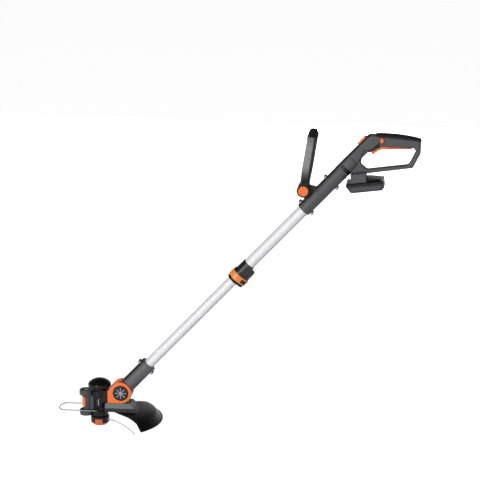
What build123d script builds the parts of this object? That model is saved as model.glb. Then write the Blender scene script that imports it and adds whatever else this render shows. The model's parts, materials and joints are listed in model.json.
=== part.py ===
from build123d import *

import os
from math import asin, cos, radians, sin, tan

# Driving dimensions, in millimetres and degrees

# Clearances
FIT = 0.05  # running fit between a pin and its hole
GAP = 0.3  # between faces of pieces that move past each other

# Shaft line, from the head's tilt pivot up to the rear handle
SHAFT_ANGLE = 46.5  # slope of the shaft above the ground
PIVOT_X = 66.0
PIVOT_Z = 103.0
LOWER_TUBE_R = 14.8
UPPER_TUBE_R = 16.5
TUBE_WALL = 1.2
LOWER_TUBE_SHOWN = 358.0  # neck rim to collar
UPPER_TUBE_SHOWN = 223.0  # collar to rear housing
TUBE_OVERLAP = 150.0  # lower tube inside the collar and the upper tube
BUSH_HEAD = 14.0
BUSH_SPIGOT = 25.0

# Neck
NECK_R = 22.0
NECK_LENGTH = 118.0  # tilt pivot to upper rim
NECK_SOCKET = 76.0
NECK_RIM = 6.0
NECK_RIM_PROUD = 1.2
NECK_LUG_STATION = 105.0
TONGUE_HALF = 13.7
TONGUE_R = 26.0
LUG_R = 4.6
LUG_HALF = 9.0
SCREW_R = 2.0
SCREW_HEAD_R = 3.4
SCREW_HEAD = 2.2

# Tilt joint
YOKE_R = 32.0
YOKE_HALF = 25.0
YOKE_FOOT_X = 27.0
YOKE_SHOULDER = 4.0  # height of the foot's top corner above the pivot
YOKE_WEB = 10.0
PIVOT_PIN_R = 10.0
TILT_BEZEL_R = 23.0
TILT_BEZEL_PROUD = 1.6
TILT_BUTTON_R = 18.8
TILT_BUTTON_PROUD = 2.4
TILT_BUTTON_THICK = 6.0
TILT_TRAVEL = 2.0
TILT_POCKET = 6.5
STAR_ARMS = 8
STAR_RIB = 2.2

# Motor and its housing
MOTOR_R = 19.0
MOTOR_WALL = 2.8
MOTOR_BASE = 27.5
MOTOR_TOP = 115.0
MOTOR_FLOOR = 50.0
FLANGE_R = 24.0
LOWER_FLANGE_TOP = 44.5
UPPER_FLANGE_BASE = 88.0
UPPER_FLANGE_TOP = 105.0
BRACKET_HALF = 20.0
VENT_WIDTH = 3.0
VENT_HEIGHT = 20.0
VENT_BASE = 60.0
CAN_WALL = 1.8
CAN_BASE = 52.0
CAN_TOP = 104.0
CAN_PLATE = 2.0
ROTOR_R = 13.0
BEARING_R = 9.0
BEARING_WIDTH = 6.0
SPINDLE_R = 4.0
SPINDLE_FOOT = 10.0

# Dome cap
DOME_R = 33.5
DOME_TOP = 140.0
DOME_CROWN_R = 46.0
DOME_BROW = 9.0
DOME_WALL = 2.2
DOME_VENTS = 14

# Spool
SPOOL_R = 27.0
SPOOL_WALL = 2.0
SPOOL_BASE = 8.0
SPOOL_TOP = 26.5
CAP_R = 24.0
CAP_FACE_R = 19.0
CAP_CHAMFER = 5.0
CAP_FLOOR = 3.0
CAP_LIP = 4.0
TAB_WIDTH = 22.0
TAB_TOP = 20.5
REEL_R = 19.5
REEL_CORE_R = 11.0
REEL_FLANGE = 1.6
REEL_BASE = 8.0
REEL_TOP = 21.0
SPRING_R = 7.0
SPRING_WIRE = 1.4
EYELET_R = 3.0
EYELET_ANGLE = -20.0
LINE_R = 0.85
LINE_HEIGHT = 17.0
# Route of the nylon line after its first straight run, as it curls out under the guard
LINE_EXIT_RUN = 16.0
LINE_ROUTE = ((60.0, -31.0, 15.8), (83.0, -53.5, 13.0), (101.5, -73.5, 9.3), (115.5, -92.0, 5.0))
LINE_BEND = 0.45  # share of the shorter run that each arc takes

# Wheels and plant guard
WHEEL_X = -40.0
WHEEL_R = 20.0
WHEEL_WIDTH = 16.4
WHEEL_EDGE = 2.5
WHEEL_DISH_R = 13.5
WHEEL_DISH = 3.6
WHEEL_HUB_R = 7.5
WHEEL_NOTCH = 1.0
LOWER_WHEEL_BASE = 27.8
UPPER_WHEEL_BASE = 88.3
AXLE_R = 4.0
AXLE_HEAD_R = 6.0
AXLE_HEAD = 2.6
COLUMN_X = -37.0
COLUMN_R = 12.0
COLUMN_WEB_HALF = 8.0
CLIP_WALL = 3.0
CLIP_BASE = 55.0
CLIP_TOP = 83.0
CLIP_SPREAD = 75.0  # half of the arc that the clip covers
WIRE_R = 1.5
WIRE_X = -5.0
WIRE_Z = 49.0
WIRE_HALF = 32.0
WIRE_SHOULDER_X = -107.0
WIRE_FRONT_X = -118.5
WIRE_FRONT_HALF = 15.0
WIRE_BEND = 7.0
WIRE_BOSS_R = 5.0
WIRE_BOSS_REACH = 29.0
WIRE_PIN_DEPTH = 8.0

# Cutting guard: a fan turned about its own centre behind the spool
GUARD_X = 22.0
GUARD_CROWN = 49.0
GUARD_FLAT_R = 85.0
GUARD_FLAT_Z = 47.5
GUARD_BEND_R = 121.0
GUARD_BEND_Z = 44.5
GUARD_RIDGE_R = 143.0
GUARD_RIDGE_Z = 38.0
GUARD_RIM_R = 162.0
GUARD_RIM_Z = 16.0
GUARD_WALL = 2.6
GUARD_ROLL = 1.9
GUARD_APEX_X = 15.0
GUARD_SPREAD = 42.0  # half angle of the fan
SADDLE_X = 20.0
SADDLE_TOP_END = 95.0
SADDLE_FOOT_END = 117.0
SADDLE_TOP_HALF = 25.0
SADDLE_FOOT_HALF = 37.0
SADDLE_WALL = 3.0
SADDLE_POSTS_X = (40.0, 84.0)
SADDLE_POST_HALF = 14.0
CUTTER_ANGLE = 30.0
CUTTER_LENGTH = 36.0
CUTTER_WIDTH = 16.0
CUTTER_THICK = 1.5
CUTTER_Z = 19.0

# Collar, from its lower rim upwards
RIM_LENGTH = 8.0
RING_LENGTH = 20.0
COLLAR_FLANGE = 6.0
SLEEVE_LENGTH = 34.0
SLEEVE_R = 18.7
COLLAR_FLANGE_R = 21.5
RING_R = 22.6
RING_LOBE_X = 20.0
RING_LOBE_R = 14.5
RIM_R = 20.6
RIM_LOBE_R = 12.0
BODY_LOBE_R = 10.5
BODY_LOBE_LENGTH = 27.0
SPIGOT_R = 19.2
CLAMP_R = 17.4
CLAMP_SLIT = 3.0
COLLAR_BUTTON_ANGLE = 40.0
COLLAR_BUTTON_LENGTH = 19.0
COLLAR_BUTTON_WIDTH = 8.0
COLLAR_BUTTON_DEPTH = 6.0
COLLAR_BUTTON_PROUD = 0.8
COLLAR_BUTTON_TRAVEL = 2.0

# Rear housing: places in its own frame, from the lower end of the barrel on the shaft line
GRIP_ANGLE = 46.5  # between the shaft and the level of the grip
BARREL_R = 21.0
BARREL_LENGTH = 212.0
BARREL_ROUND = 14.0
HOUSING_WALL = 3.0
TUBE_SOCKET = 128.0
LUG_STATIONS = (11.5, 113.0)
LUG_OFFSET = 23.0
GRIP_HALF = 17.5
GRIP_ROUND = 8.0
BOW_HALF = 11.5
BOW_ROUND = 4.0
COLUMN_START = 150.0  # station where the column leaves the barrel
GRIP_FRONT = (181.0, 221.0)
GRIP_FRONT_ROUND = 16.0
GRIP_CROWN = (240.0, 222.0)
GRIP_REAR = (327.5, 209.5)
GRIP_REAR_ROUND = 7.0
BOW_REAR = (327.0, 170.0)
BOW_HEEL = (305.5, 128.5)
BOW_HEEL_ROUND = 9.0
BOW_FRONT = (186.0, 112.0)
BOW_ROOT = (133.0, 109.0)
# Corners of the hand opening with their radii, from the front, round the bottom and back along the grip
OPENING = (
    (163.0, 153.5, 7.0),
    (161.0, 137.5, 7.0),
    (178.0, 122.5, 9.0),
    (293.0, 137.5, 9.0),
    (313.0, 176.5, 9.0),
    (308.0, 184.5, 4.0),
    (212.0, 188.5, 3.0),
    (182.0, 172.5, 4.0),
)
GRIP_SPLIT = 176.0  # height above which the loop is as thick as the grip
PAD_THICK = 1.6
PAD_SIDE = 1.0
PAD_START = 200.0
PAD_FRONT_LOW = 212.0
PAD_REAR_LOW = 198.0
BAND_STATION = 164.0
BAND_WIDTH = 11.0
BAND_DEPTH = 1.0
BAND_PROUD = 0.4

# Trigger, its bezel, pin and switch
TRIGGER_HALF = 7.0
TRIGGER_PIN = (302.0, 190.0)
TRIGGER_PIN_R = 2.5
TRIGGER_BOSS_R = 5.5
TRIGGER_ANGLE = 3.5  # squeeze
TRIGGER_BLADE = (
    (302.0, 181.5, 2.0),
    (219.0, 179.5, 8.0),
    (208.0, 175.0, 8.0),
    (193.5, 164.0, 2.0),
    (188.5, 171.0, 2.0),
    (204.0, 191.5, 3.0),
    (302.0, 194.0, 2.0),
)
BEZEL_CORNERS = ((181.2, 170.6), (210.0, 202.5), (214.0, 187.5))
BEZEL_HALF = 17.8
SWITCH_AT = (248.0, 208.0)
SWITCH_LENGTH = 28.0
SWITCH_HEIGHT = 12.0

# Buttons on the housing
LOCK_OFF_AT = (218.5, 206.5)
LOCK_OFF_LENGTH = 15.5
LOCK_OFF_WIDTH = 10.5
LOCK_OFF_PROUD = 2.5
LOCK_OFF_WAIST_R = 3.6
LOCK_OFF_TRAVEL = 3.0
FEED_STATION = 260.5
FEED_LENGTH = 33.0
FEED_WIDTH = 14.0
FEED_PROUD = 5.0
FEED_FLANGE = 2.0
FEED_TRAVEL = 3.0

# Battery dock and pack, in a frame tilted along the rails
DOCK_AT = (157.0, 88.0)
DOCK_TILT = 7.0
DOCK_LENGTH = 44.0
DOCK_HALF = 33.0
DOCK_HEIGHT = 26.0
DOCK_ROUND = 3.0
DOCK_SHELF = 1.2
RAIL_NECK_HALF = 21.7
RAIL_HALF = 25.7
RAIL_LIP = 5.0
RAIL_TOP = 14.0
BATTERY_FRONT = -37.4
BATTERY_REAR = 68.6
BATTERY_HALF = 37.5
BATTERY_HEIGHT = 27.0
BATTERY_SEAM = 8.5
BATTERY_FRONT_SLOPE = 12.0
BATTERY_REAR_SLOPE = 7.0
BATTERY_ROUND = 3.5
BATTERY_WALL = 2.5
DECK_START = -12.0
DECK_END = 60.0
DECK_HEIGHT = 9.0
DECK_TAIL = 3.0
CELL_R = 9.1
CELL_LENGTH = 65.0
CELL_COUNT = 5
CELL_PITCH = 18.3
CELL_MIDDLE = 17.6
BLADE_COUNT = 3
BLADE_PITCH = 13.0
BLADE_THICK = 0.9
BLADE_REACH = 13.0
TERMINAL_BLOCK = 7.0
BOARD_THICK = 1.6
RELEASE_WIDTH = 26.0
RELEASE_HEIGHT = 9.5
RELEASE_DEPTH = 3.6
RELEASE_PROUD = 1.6
RELEASE_TRAVEL = 2.5

# Front handle: a D loop on an ear above the barrel
EAR_STATION = 44.0
EAR_OFFSET = -40.5
EAR_R = 15.0
EAR_HALF = 10.5
EAR_FOOT = 30.0
AUX_LEAN = 9.0
AUX_BOSS_R = 19.0
AUX_BOSS_OUT = 27.0
AUX_BOSS_IN = 11.0
AUX_BOLT_R = 5.0
AUX_ARM_HALF = 56.0  # middle of each arm from the mid plane
AUX_HEIGHT = 156.0  # pivot to the middle of the crossbar
AUX_FLARE_BASE = 26.0
AUX_FLARE_TOP = 62.0
AUX_FLARE_BEND = 22.0
AUX_CORNER = 30.0
AUX_BAR_WIDTH = 26.0
AUX_BAR_DEPTH = 16.0
AUX_BAR_ROUND = 7.5
AUX_GRIP_DROP = 52.0  # how far the rubber runs down each arm
AUX_GRIP_WALL = 1.6
AUX_BUTTON_R = 14.4
AUX_BUTTON_TEETH = 14
AUX_BUTTON_PROUD = 4.0
AUX_BUTTON_THICK = 7.5
AUX_POCKET = 7.0
AUX_BUTTON_TRAVEL = 2.5


# Frames and stations worked out from the driving dimensions

BASE = (Align.CENTER, Align.CENTER, Align.MIN)
ALONG = Vector(cos(radians(SHAFT_ANGLE)), 0, sin(radians(SHAFT_ANGLE)))
UNDER = Vector(sin(radians(SHAFT_ANGLE)), 0, -cos(radians(SHAFT_ANGLE)))
PIVOT = Vector(PIVOT_X, 0, PIVOT_Z)
SHAFT = Plane(origin=PIVOT, x_dir=UNDER, z_dir=ALONG)

COLLAR_START = NECK_LENGTH + LOWER_TUBE_SHOWN
RING_START = COLLAR_START + RIM_LENGTH
FLANGE_START = RING_START + RING_LENGTH
SLEEVE_START = FLANGE_START + COLLAR_FLANGE
COLLAR_END = SLEEVE_START + SLEEVE_LENGTH
HOUSING_START = COLLAR_END + UPPER_TUBE_SHOWN
LOWER_TUBE_END = COLLAR_START + TUBE_OVERLAP
SADDLE_TOP = PIVOT_Z - YOKE_R

LEVEL = radians(SHAFT_ANGLE - GRIP_ANGLE)
HANDLE = Plane(
    origin=PIVOT + ALONG * HOUSING_START,
    x_dir=(cos(LEVEL), 0, sin(LEVEL)),
    z_dir=(-sin(LEVEL), 0, cos(LEVEL)),
)


def barrel_point(station, offset=0.0):
    """Place in the housing frame, from a station on the shaft line and an offset to its underside."""
    slope = radians(GRIP_ANGLE)
    return station * cos(slope) + offset * sin(slope), station * sin(slope) - offset * cos(slope)


AUX_AT = barrel_point(EAR_STATION, EAR_OFFSET)
BARREL = Pos(0, 0, 0) * Rot(0, 90 - GRIP_ANGLE, 0)
DOCK = Pos(DOCK_AT[0], 0, DOCK_AT[1]) * Rot(0, -DOCK_TILT, 0)
BARREL_IN_DOCK = DOCK.inverse() * BARREL
AUX = Pos(AUX_AT[0], 0, AUX_AT[1]) * Rot(0, AUX_LEAN, 0)


# Shared shapes


def rod(radius, start, end):
    """A round bar along +Z from one height to another."""
    return Pos(0, 0, start) * Cylinder(radius, end - start, align=BASE)


def tube(outer, inner, start, end):
    """A round tube along +Z from one height to another."""
    return rod(outer, start, end) - rod(inner, start, end)


def crossbar(radius, place, start, end):
    """A round bar along +Y at a place of the XZ plane."""
    return Pos(place[0], start, place[1]) * Rot(-90, 0, 0) * Cylinder(radius, end - start, align=BASE)


def block(low, high):
    """A box from its lowest to its highest corner."""
    size = [b - a for a, b in zip(low, high)]
    return Pos(*low) * Box(*size, align=(Align.MIN, Align.MIN, Align.MIN))


def polygon(*corners):
    """A flat face from corners given as (x, y) or (x, y, corner radius)."""
    points = [corner[:2] for corner in corners]
    radii = [corner[2] if len(corner) > 2 else 0.0 for corner in corners]
    return make_face(FilletPolyline(*points, radius=radii, close=True).edges())


def plate(outline, half):
    """An XZ outline thickened to both sides of the mid plane."""
    return extrude(Plane.XZ * outline, half, both=True)


def rounded_plate(outline, half, radius):
    """An XZ outline thickened to both sides, with the edges of its two faces rounded."""
    body = plate(outline, half)
    rims = [edge for edge in body.edges() if abs(abs(edge.center().Y) - half) < 0.001]
    return fillet(rims, radius)


def hull(*outlines):
    """The convex face round several flat outlines."""
    return make_hull([edge for outline in outlines for edge in outline.edges()])


def turned(*corners):
    """A solid turned about Z from corners given as (radius, height) or with a corner radius."""
    return revolve(Plane.XZ * polygon(*corners), Axis.Z)


def moulded_halves(body):
    """A symmetrical shell parted along the mid plane: its near half, and the far half as its mirror image."""
    near = split(body, Plane.XZ, keep=Keep.TOP)
    return near, mirror(near, Plane.XZ)


def cross_screw(place, start, end):
    """A pan-head screw along +Y with its head at the start."""
    head = crossbar(SCREW_HEAD_R, place, start - SCREW_HEAD, start)
    head = fillet(head.faces().sort_by(Axis.Y)[0].edges(), SCREW_HEAD * 0.4)
    return head + crossbar(SCREW_R, place, start, end)


def lug_pair(places, hole):
    """Eyelets across the parting plane, and the bars that drill them."""
    eyes = [crossbar(LUG_R, place, -LUG_HALF, LUG_HALF) for place in places]
    drills = [crossbar(hole, place, -LUG_HALF - 1, LUG_HALF + 1) for place in places]
    return eyes, drills


# Spool: turns about Z under the motor


def spool_parts():
    inside = SPOOL_R - SPOOL_WALL
    plate_base = SPOOL_TOP - SPOOL_WALL
    windows = [
        block((-TAB_WIDTH / 2 - GAP, side - 6, SPOOL_BASE - 1), (TAB_WIDTH / 2 + GAP, side + 6, TAB_TOP + GAP))
        for side in (-SPOOL_R, SPOOL_R)
    ]
    housing = tube(SPOOL_R, inside, SPOOL_BASE, plate_base) + rod(SPOOL_R, plate_base, SPOOL_TOP)
    housing = fillet(housing.faces().sort_by(Axis.Z)[-1].edges(), 1.2)
    housing += rod(SPINDLE_R + 4, REEL_TOP + GAP, plate_base)
    eyelet_at = Rot(0, 0, EYELET_ANGLE) * Pos(0, 0, LINE_HEIGHT) * Rot(0, 90, 0)
    eyelet_hole = eyelet_at * rod(EYELET_R, inside - 3, SPOOL_R + 3)
    housing = housing - windows - eyelet_hole - rod(SPINDLE_R, 0, SPOOL_TOP + 1)

    cup = turned((0, 0), (CAP_FACE_R, 0), (CAP_R, CAP_CHAMFER), (CAP_R, SPOOL_BASE), (0, SPOOL_BASE))
    lip_r = inside - FIT
    lip_top = SPOOL_BASE + CAP_LIP
    cup += tube(lip_r, lip_r - SPOOL_WALL, SPOOL_BASE, lip_top)
    cup -= rod(lip_r - SPOOL_WALL, CAP_FLOOR + 2, SPOOL_BASE)
    wall = tube(SPOOL_R - GAP, lip_r - SPOOL_WALL, SPOOL_BASE, TAB_TOP)
    tabs = wall & block((-TAB_WIDTH / 2, -SPOOL_R, SPOOL_BASE), (TAB_WIDTH / 2, SPOOL_R, TAB_TOP))
    cap = cup + tabs
    cap -= eyelet_at * rod(EYELET_R + FIT, 0, SPOOL_R + 3)

    reel = rod(REEL_CORE_R, REEL_BASE, REEL_TOP)
    reel += rod(REEL_R, REEL_BASE, REEL_BASE + REEL_FLANGE) + rod(REEL_R, REEL_TOP - REEL_FLANGE, REEL_TOP)
    reel -= rod(SPINDLE_R, REEL_BASE, REEL_TOP)
    spring = tube(SPRING_R, SPRING_R - SPRING_WIRE, CAP_FLOOR + 2, REEL_BASE)
    eyelet = eyelet_at * (tube(EYELET_R, LINE_R, inside, SPOOL_R + 0.8))
    upper_end = CAN_TOP + CAN_PLATE + BEARING_WIDTH
    spindle = rod(SPINDLE_R, SPINDLE_FOOT, upper_end)
    rotor = tube(ROTOR_R, SPINDLE_R, CAN_BASE + 6, CAN_TOP - 6)
    return {
        "spool_housing": housing,
        "spool_cap": cap,
        "line_reel": reel,
        "reel_spring": spring,
        "line_eyelet": eyelet,
        "spindle": spindle,
        "motor_rotor": rotor,
        "trimmer_line": trimmer_line(),
    }


def trimmer_line():
    """The nylon line: straight runs joined by arcs as large as the runs allow."""
    outward = Vector(cos(radians(EYELET_ANGLE)), sin(radians(EYELET_ANGLE)), 0)
    start = outward * (SPOOL_R + 0.8) + Vector(0, 0, LINE_HEIGHT)
    points = [start, start + outward * LINE_EXIT_RUN] + [Vector(*point) for point in LINE_ROUTE]
    runs = [b - a for a, b in zip(points, points[1:])]
    radii = [
        LINE_BEND * min(a.length, b.length) / tan(radians(a.get_angle(b)) / 2) for a, b in zip(runs, runs[1:])
    ]
    print("line radii", [round(radius) for radius in radii])
    path = FilletPolyline(*points, radius=radii)
    return sweep(Plane(origin=start, z_dir=outward) * Circle(LINE_R), path=path)


# Motor housing, dome, wheels and plant guard


def motor_parts():
    bracket = block((0, -BRACKET_HALF, SADDLE_TOP), (YOKE_FOOT_X, BRACKET_HALF, PIVOT_Z + YOKE_SHOULDER))
    body = rod(MOTOR_R, MOTOR_BASE, MOTOR_TOP) + bracket
    for low, high in ((MOTOR_BASE, LOWER_FLANGE_TOP), (UPPER_FLANGE_BASE, UPPER_FLANGE_TOP)):
        flange = rod(FLANGE_R, low, high)
        body += fillet(flange.edges().filter_by(GeomType.CIRCLE), 2.0)
    boss = crossbar(WIRE_BOSS_R, (WIRE_X, WIRE_Z), -WIRE_BOSS_REACH, WIRE_BOSS_REACH)
    body += boss
    body -= Pos(WHEEL_X, 0, 0) * rod(WHEEL_R + WHEEL_NOTCH, 0, MOTOR_TOP)
    body -= rod(MOTOR_R - MOTOR_WALL, MOTOR_FLOOR, MOTOR_TOP)
    seat_base = MOTOR_FLOOR - BEARING_WIDTH
    body -= rod(BEARING_R, seat_base, MOTOR_FLOOR)
    body -= rod(SPINDLE_R + 1, MOTOR_BASE, seat_base)
    body -= crossbar(WIRE_R + FIT, (WIRE_X, WIRE_Z), -WIRE_BOSS_REACH, -WIRE_BOSS_REACH + WIRE_PIN_DEPTH)
    body -= crossbar(WIRE_R + FIT, (WIRE_X, WIRE_Z), WIRE_BOSS_REACH - WIRE_PIN_DEPTH, WIRE_BOSS_REACH)
    for angle in (-130, -112, -94, 94, 112, 130):
        slot = block((0, -VENT_WIDTH / 2, VENT_BASE), (MOTOR_R + 1, VENT_WIDTH / 2, VENT_BASE + VENT_HEIGHT))
        body -= Rot(0, 0, angle) * slot

    can_r = MOTOR_R - MOTOR_WALL - FIT
    can = tube(can_r, can_r - CAN_WALL, CAN_BASE, CAN_TOP)
    can += tube(can_r, SPINDLE_R + 1, CAN_TOP, CAN_TOP + CAN_PLATE)
    seat_top = CAN_TOP + CAN_PLATE + BEARING_WIDTH
    can += tube(BEARING_R + CAN_WALL, BEARING_R, CAN_TOP + CAN_PLATE, seat_top)
    bearings = {
        "lower_bearing": tube(BEARING_R, SPINDLE_R + FIT, seat_base, MOTOR_FLOOR),
        "upper_bearing": tube(BEARING_R, SPINDLE_R + FIT, CAN_TOP + CAN_PLATE, seat_top),
    }
    return {"motor_housing": body, "motor_can": can, "dome_cap": dome_cap(), **bearings}


def dome_block(inset, low):
    """The cap's outer form, a spherical crown with a rounded brow, brought in by an inset."""
    centre = DOME_TOP - DOME_CROWN_R
    crown_r = DOME_CROWN_R - inset
    rim = DOME_R - inset
    rise = asin(rim / crown_r)
    brow = (rim, centre + crown_r * cos(rise))
    middle = (crown_r * sin(rise / 2), centre + crown_r * cos(rise / 2))
    peak = (0, centre + crown_r)
    crown = ThreePointArc(peak, middle, brow)
    sides = Polyline(brow, (rim, low), (0, low), peak)
    section = make_face(crown.edges() + sides.edges())
    corner = section.vertices().sort_by_distance((*brow, 0))[0]
    return revolve(Plane.XZ * fillet(corner, DOME_BROW - inset), Axis.Z)


def dome_cap():
    """A mushroom cap: a crowned shell on a vented floor that seats on the motor housing."""
    floor = MOTOR_TOP + DOME_WALL
    cap = dome_block(0.0, MOTOR_TOP) - dome_block(DOME_WALL, floor)
    cap -= rod(MOTOR_R - MOTOR_WALL, MOTOR_TOP, floor)
    hem = cap.faces().sort_by(Axis.Z)[0].edges().sort_by(SortBy.RADIUS)[-1]
    cap = chamfer(hem, DOME_WALL)
    for step in range(DOME_VENTS):
        vent = block((MOTOR_R + 2.5, -1.6, MOTOR_TOP - 1), (DOME_R - 5, 1.6, MOTOR_TOP + DOME_WALL + 1))
        cap -= Rot(0, 0, (step + 0.5) * 360 / DOME_VENTS) * vent
    return cap


def wheel(base):
    """A roller with a dished face on both sides and a hub that keeps it off the column."""
    body = rod(WHEEL_R, base, base + WHEEL_WIDTH)
    body = fillet(body.edges().filter_by(GeomType.CIRCLE), WHEEL_EDGE)
    body -= rod(WHEEL_DISH_R, base, base + WHEEL_DISH)
    body -= rod(WHEEL_DISH_R, base + WHEEL_WIDTH - WHEEL_DISH, base + WHEEL_WIDTH)
    return Pos(WHEEL_X, 0, 0) * (body - rod(AXLE_R + FIT, base, base + WHEEL_WIDTH))


def wheel_parts():
    upper_top = UPPER_WHEEL_BASE + WHEEL_WIDTH
    lower_top = LOWER_WHEEL_BASE + WHEEL_WIDTH
    lower_floor = LOWER_WHEEL_BASE + WHEEL_DISH - GAP
    upper_floor = upper_top - WHEEL_DISH + GAP
    axle = rod(AXLE_R, lower_floor, upper_floor)
    axle += rod(AXLE_HEAD_R, lower_floor - AXLE_HEAD, lower_floor)
    head = rod(AXLE_HEAD_R, upper_floor, upper_floor + AXLE_HEAD)
    head -= block((-AXLE_HEAD_R, -0.8, upper_floor + AXLE_HEAD - 1), (AXLE_HEAD_R, 0.8, upper_floor + AXLE_HEAD))
    axle = Pos(WHEEL_X, 0, 0) * (axle + head)

    low = lower_top + GAP
    high = UPPER_WHEEL_BASE - GAP
    column = Pos(COLUMN_X, 0, 0) * rod(COLUMN_R, low, high)
    web = block((COLUMN_X, -COLUMN_WEB_HALF, low), (0, COLUMN_WEB_HALF, high))
    column += web - rod(MOTOR_R, low, high)
    hub_low = lower_top - WHEEL_DISH + GAP
    hub_high = UPPER_WHEEL_BASE + WHEEL_DISH - GAP
    column += Pos(WHEEL_X, 0, 0) * rod(WHEEL_HUB_R, hub_low, hub_high)
    column -= Pos(WHEEL_X, 0, 0) * rod(AXLE_R, hub_low, hub_high)

    ring = tube(COLUMN_R + CLIP_WALL, COLUMN_R, CLIP_BASE, CLIP_TOP)
    reach = 2 * COLUMN_R + 2 * CLIP_WALL
    edge = (reach * cos(radians(CLIP_SPREAD)), reach * sin(radians(CLIP_SPREAD)))
    wedge = polygon((0, 0), (-edge[0], edge[1]), (-reach, edge[1]), (-reach, -edge[1]), (-edge[0], -edge[1]))
    clip = Pos(COLUMN_X, 0, 0) * (ring & extrude(Pos(0, 0, CLIP_BASE) * wedge, CLIP_TOP - CLIP_BASE))
    return {
        "wheel_upper": wheel(UPPER_WHEEL_BASE),
        "wheel_lower": wheel(LOWER_WHEEL_BASE),
        "wheel_axle": axle,
        "wheel_column": column,
        "column_clip": clip,
    }


def wire_guard():
    """A bent steel wire whose two inturned ends hinge in the bosses beside the motor."""
    end = WIRE_BOSS_REACH - WIRE_PIN_DEPTH + GAP
    side = [
        (WIRE_X, end, WIRE_Z),
        (WIRE_X, WIRE_HALF, WIRE_Z),
        (WIRE_SHOULDER_X, WIRE_HALF, WIRE_Z),
        (WIRE_FRONT_X, WIRE_FRONT_HALF, WIRE_Z),
    ]
    points = side + [(x, -y, z) for x, y, z in reversed(side)]
    elbow = WIRE_HALF - WIRE_BOSS_REACH - GAP
    radii = [elbow, WIRE_BEND, WIRE_BEND, WIRE_BEND, WIRE_BEND, elbow]
    path = FilletPolyline(*points, radius=radii)
    return sweep(Plane(origin=points[0], z_dir=(0, 1, 0)) * Circle(WIRE_R), path=path)


# Guard and its saddle


def guard_block(inset):
    """The solid below the guard's skin, brought in from all sides by an inset."""
    flat = (GUARD_FLAT_R, GUARD_FLAT_Z - inset)
    bend = (GUARD_BEND_R - inset * 0.2, GUARD_BEND_Z - inset)
    ridge = (GUARD_RIDGE_R - inset * 0.6, GUARD_RIDGE_Z - inset)
    rim = (GUARD_RIM_R - inset, GUARD_RIM_Z)
    skin = Line((0, GUARD_CROWN - inset), flat) + ThreePointArc(flat, bend, ridge) + Line(ridge, rim)
    sides = Polyline(rim, (rim[0], GUARD_RIM_Z - 4), (0, GUARD_RIM_Z - 4), (0, GUARD_CROWN - inset))
    return Pos(GUARD_X, 0, 0) * revolve(Plane.XZ * make_face(skin.edges() + sides.edges()), Axis.Z)


def guard_parts():
    reach = GUARD_X + GUARD_RIM_R + 20
    spread = reach * tan(radians(GUARD_SPREAD))
    fan = polygon((GUARD_APEX_X, 0), (GUARD_APEX_X + reach, -spread), (GUARD_APEX_X + reach, spread))
    fan = extrude(Pos(0, 0, GUARD_RIM_Z) * fan, GUARD_CROWN)
    skin = guard_block(0.0) - guard_block(GUARD_WALL)
    roll = Pos(GUARD_X, 0, GUARD_RIM_Z + GUARD_ROLL) * Torus(GUARD_RIM_R - GUARD_WALL / 2, GUARD_ROLL)
    guard = ((skin + roll) & fan) - rod(FLANGE_R + 1, 0, PIVOT_Z)

    posts = [(x, y) for x in SADDLE_POSTS_X for y in (-SADDLE_POST_HALF, SADDLE_POST_HALF)]
    saddle = saddle_loft(0.0) - saddle_loft(SADDLE_WALL)
    saddle += [Pos(x, y, GUARD_RIM_Z) * rod(2 * SCREW_R, 0, SADDLE_TOP - GUARD_RIM_Z) for x, y in posts]
    saddle = saddle - guard_block(0.0) - rod(MOTOR_R, 0, PIVOT_Z)

    screw_end = SADDLE_TOP - 2 * SADDLE_WALL
    shanks = [Pos(x, y, 0) * rod(SCREW_R, GUARD_RIM_Z, screw_end) for x, y in posts]
    head_base = GUARD_FLAT_Z - GUARD_WALL - SCREW_HEAD
    heads = [Pos(x, y, 0) * rod(SCREW_HEAD_R, head_base, GUARD_CROWN) for x, y in posts]
    heads = [head & guard_block(GUARD_WALL) for head in heads]
    threads = [Pos(x, y, 0) * rod(SCREW_R, GUARD_FLAT_Z - GUARD_WALL, screw_end) for x, y in posts]
    screws = [head + thread for head, thread in zip(heads, threads)]

    reach = GUARD_RIM_R - CUTTER_LENGTH
    cutter = block((reach, 0, CUTTER_Z), (GUARD_RIM_R, CUTTER_WIDTH, CUTTER_Z + CUTTER_THICK))
    cutter = (Pos(GUARD_X, 0, 0) * Rot(0, 0, CUTTER_ANGLE) * cutter) & guard_block(GUARD_WALL)
    return {
        "guard": guard - shanks,
        "guard_saddle": saddle - shanks,
        "guard_screws": Compound(children=screws),
        "line_cutter": cutter,
    }


def saddle_loft(inset):
    """The wedge between guard and yoke, brought in from its sides and top by an inset."""
    start = (Align.MIN, Align.CENTER)
    foot = Rectangle(SADDLE_FOOT_END - SADDLE_X - 2 * inset, 2 * (SADDLE_FOOT_HALF - inset), align=start)
    crown = Rectangle(SADDLE_TOP_END - SADDLE_X - 2 * inset, 2 * (SADDLE_TOP_HALF - inset), align=start)
    low = GUARD_FLAT_Z - GUARD_WALL
    return loft([Pos(SADDLE_X + inset, 0, low) * foot, Pos(SADDLE_X + inset, 0, SADDLE_TOP - inset) * crown])


# Tilt joint: orange yoke on the head, tongue of the neck between its cheeks


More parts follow.
